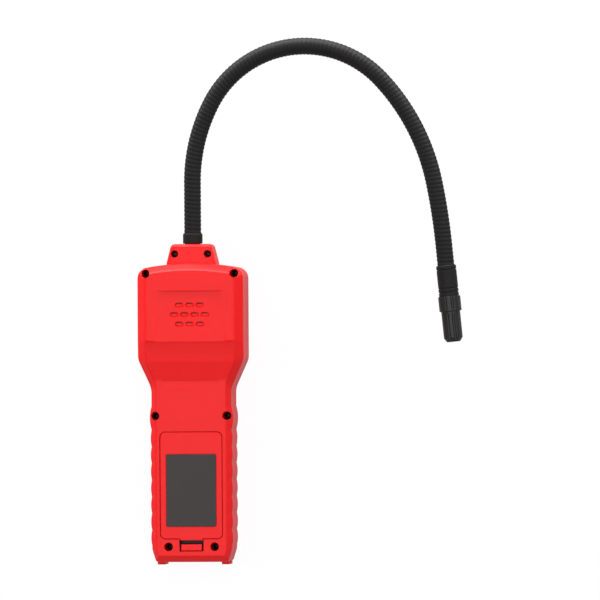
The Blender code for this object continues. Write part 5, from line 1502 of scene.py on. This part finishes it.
def build_cells():
    """Four cells with rolled edges, a raised nub and a groove round the positive end."""
    r, nub, length = CELL_RADIUS, 0.00275, CELL_LENGTH
    profile = rounded((
        (0.0, 0.0002), (r * 0.62, 0.0002), (r * 0.7, 0.0), (r, 0.0), (r, length - 0.0022),
        (r - 0.0003, length - 0.0018), (r, length - 0.0014), (r, length), (r * 0.8, length),
        (r * 0.72, length - 0.0004), (nub, length - 0.0004), (nub, length + 0.001), (0.0, length + 0.001),
    ), 0.0005)
    for name in nodes_with("cell_"):
        low, high = node_corners(name)
        nub_up = name.endswith("left")
        foot = Vector(((low.x + high.x) / 2, low.y if nub_up else high.y, (low.z + high.z) / 2))
        cell = turned(profile, foot, (0, 1 if nub_up else -1, 0), 40)
        piece(f"{name}_detail", cell, "cell_jacket", "housing", (name,))


# Stage

PIXEL = 0.00058  # metres for each pixel of the photograph
PICTURE_SIDE = 600
CAMERA_TARGET = Vector((0.0623, 0.1064, 0.0175))
CAMERA_DISTANCE = 5.8
CAMERA_SWING = 5.25  # degrees towards +X
CAMERA_ROLL = -0.34  # degrees
SENSOR = 36.0  # mm


WHITE = (1.0, 1.0, 1.0, 1.0)
FLOOR_GREY = (0.45, 0.45, 0.45, 1.0)
FLOOR_GLOW = 1.10
FLOOR_SHARE = 0.86  # the rest of the floor is left to the shadow
WORLD_LIGHT = 0.46
MIRRORED_SHARE = 0.2  # how much of the white background the glossy plastic mirrors
LAMP_AIM = (0.03, 0.06, 0.02)
# Place, aim, size, power in watts, and whether glossy plastic mirrors the lamp
STUDIO = {
    "overhead_panel": ((0.03, 0.20, 2.4), LAMP_AIM, (1.6, 1.6), 11.5, True),
    "left_softbox": ((-1.50, 0.35, 1.40), LAMP_AIM, (1.1, 1.1), 13.0, False),
    "right_softbox": ((1.50, 0.35, 1.40), LAMP_AIM, (1.1, 1.1), 4.5, True),
    "far_card": ((0.06, 0.60, 0.17), (0.06, 0.10, 1.05), (1.0, 0.72), 15.0, True),
}


def area_light(name, place, aim, size, power, mirrored):
    """A soft lamp that the camera doesn't see."""
    data = bpy.data.lights.new(name, "AREA")
    data.shape = "RECTANGLE"
    data.size, data.size_y = size
    data.energy = power
    light = added(name, data)
    light.location = place
    light.rotation_euler = (Vector(aim) - Vector(place)).to_track_quat("-Z", "Y").to_euler()
    light.visible_camera = False
    light.visible_glossy = mirrored


def split_by_rays(owner, output, share, lighting, background):
    """Mixes the background's shader over the lighting one, by a share of the rays that see the background."""
    owner.use_nodes = True
    tree = owner.node_tree
    tree.nodes.clear()
    path = node(tree, "LightPath").outputs
    seen = maths(tree, "MAXIMUM", path["Is Camera Ray"], path["Is Transmission Ray"])
    seen = maths(tree, "MAXIMUM", seen, maths(tree, "MULTIPLY", path["Is Glossy Ray"], MIRRORED_SHARE))
    first, second = (node(tree, *shader).outputs[0] for shader in (lighting, background))
    mix = node(tree, "MixShader", {0: maths(tree, "MULTIPLY", seen, share), 1: first, 2: second})
    node(tree, output, {"Surface": mix.outputs[0]})


def build_floor():
    """A plain floor that the camera and clear plastic see as nearly white, with a faint shadow left on it."""
    bm = bmesh.new()
    bmesh.ops.create_grid(bm, x_segments=1, y_segments=1, size=6.0)
    mesh = bpy.data.meshes.new("floor")
    bm.to_mesh(mesh)
    bm.free()
    floor = added("floor", mesh)
    floor.location = (0.0, 0.0, -0.0001)
    look = bpy.data.materials.new("pale_floor")
    split_by_rays(
        look, "OutputMaterial", FLOOR_SHARE, ("BsdfDiffuse", {"Color": FLOOR_GREY}),
        ("Emission", {"Color": WHITE, "Strength": FLOOR_GLOW}),
    )
    look.cycles.emission_sampling = "NONE"
    mesh.materials.append(look)


def build_world():
    world = bpy.data.worlds.new("studio")
    bpy.context.scene.world = world
    split_by_rays(
        world, "OutputWorld", 1.0, ("Background", {"Color": WHITE, "Strength": WORLD_LIGHT}),
        ("Background", {"Color": WHITE, "Strength": 1.0}),
    )


def build_camera():
    """The photograph's view: from above the rear face, a little from the right."""
    swing = math.radians(CAMERA_SWING)
    back = Vector((math.sin(swing), 0.0, math.cos(swing)))
    right = Vector((0.0, 1.0, 0.0)).cross(back).normalized()
    axes = Matrix((right, back.cross(right), back)).transposed().to_4x4()
    data = bpy.data.cameras.new("camera")
    data.sensor_width = SENSOR
    data.lens = SENSOR * CAMERA_DISTANCE / (PIXEL * PICTURE_SIDE)
    data.clip_end = 50.0
    camera = added("camera", data)
    roll = Matrix.Rotation(math.radians(CAMERA_ROLL), 4, "Z")
    camera.matrix_world = Matrix.Translation(CAMERA_TARGET + CAMERA_DISTANCE * back) @ axes @ roll
    bpy.context.scene.camera = camera


def build_stage():
    build_floor()
    build_world()
    build_camera()
    for name, settings in STUDIO.items():
        area_light(name, *settings)
    bpy.context.scene.view_settings.view_transform = "Standard"


# Operators, panel and registration

class DETECTOR_OT_stage(bpy.types.Operator):
    """Add the camera, the lights, the world and the floor"""
    bl_idname = "detector.stage"
    bl_label = "Stage"

    def execute(self, context):
        build_stage()
        return {"FINISHED"}


class DETECTOR_OT_housing(bpy.types.Operator):
    """Build the two red case halves"""
    bl_idname = "detector.housing"
    bl_label = "Housing"

    def execute(self, context):
        build_rear_case()
        build_front_case()
        return {"FINISHED"}


class DETECTOR_OT_door(bpy.types.Operator):
    """Build the battery door and its blank panel"""
    bl_idname = "detector.door"
    bl_label = "Battery door"

    def execute(self, context):
        build_door()
        return {"FINISHED"}


class DETECTOR_OT_screws(bpy.types.Operator):
    """Build the screws in their wells"""
    bl_idname = "detector.screws"
    bl_label = "Screws"

    def execute(self, context):
        build_screws()
        return {"FINISHED"}


class DETECTOR_OT_neck(bpy.types.Operator):
    """Build the ribbed neck and its base ferrule"""
    bl_idname = "detector.neck"
    bl_label = "Neck"

    def execute(self, context):
        build_neck()
        build_base_ferrule()
        return {"FINISHED"}


class DETECTOR_OT_tip(bpy.types.Operator):
    """Build the tip ferrule, the sensor and the cap"""
    bl_idname = "detector.tip"
    bl_label = "Tip"

    def execute(self, context):
        build_tip_ferrule()
        build_sensor()
        build_cap()
        return {"FINISHED"}


class DETECTOR_OT_controls(bpy.types.Operator):
    """Build the keys and the window of the front"""
    bl_idname = "detector.controls"
    bl_label = "Controls"

    def execute(self, context):
        build_keys()
        build_window()
        return {"FINISHED"}


class DETECTOR_OT_inside(bpy.types.Operator):
    """Build the board and the cells, and dress the contacts"""
    bl_idname = "detector.inside"
    bl_label = "Inside"

    def execute(self, context):
        build_board()
        build_cells()
        dress_small_parts()
        return {"FINISHED"}


OPERATORS = (
    DETECTOR_OT_stage,
    DETECTOR_OT_housing,
    DETECTOR_OT_door,
    DETECTOR_OT_screws,
    DETECTOR_OT_neck,
    DETECTOR_OT_tip,
    DETECTOR_OT_controls,
    DETECTOR_OT_inside,
)


class DETECTOR_PT_sidebar(bpy.types.Panel):
    """Lists the steps that build the leak detector"""
    bl_label = "Leak detector"
    bl_idname = "DETECTOR_PT_sidebar"
    bl_space_type = "VIEW_3D"
    bl_region_type = "UI"
    bl_category = "Leak detector"

    def draw(self, context):
        for settings in (context.scene.detector_sizes, context.scene.detector_colours):
            for name in settings.__annotations__:
                self.layout.prop(settings, name)
        for made in OPERATORS:
            self.layout.operator(made.bl_idname)


CLASSES = (DetectorSizes, DetectorColours, *OPERATORS, DETECTOR_PT_sidebar)


def register():
    for item in CLASSES:
        bpy.utils.register_class(item)
    bpy.types.Scene.detector_sizes = bpy.props.PointerProperty(type=DetectorSizes)
    bpy.types.Scene.detector_colours = bpy.props.PointerProperty(type=DetectorColours)


def unregister():
    del bpy.types.Scene.detector_colours
    del bpy.types.Scene.detector_sizes
    for item in reversed(CLASSES):
        bpy.utils.unregister_class(item)


def main():
    register()
    for made in OPERATORS:
        getattr(bpy.ops.detector, made.bl_idname.split(".")[1])()


if __name__ == "__main__":
    main()
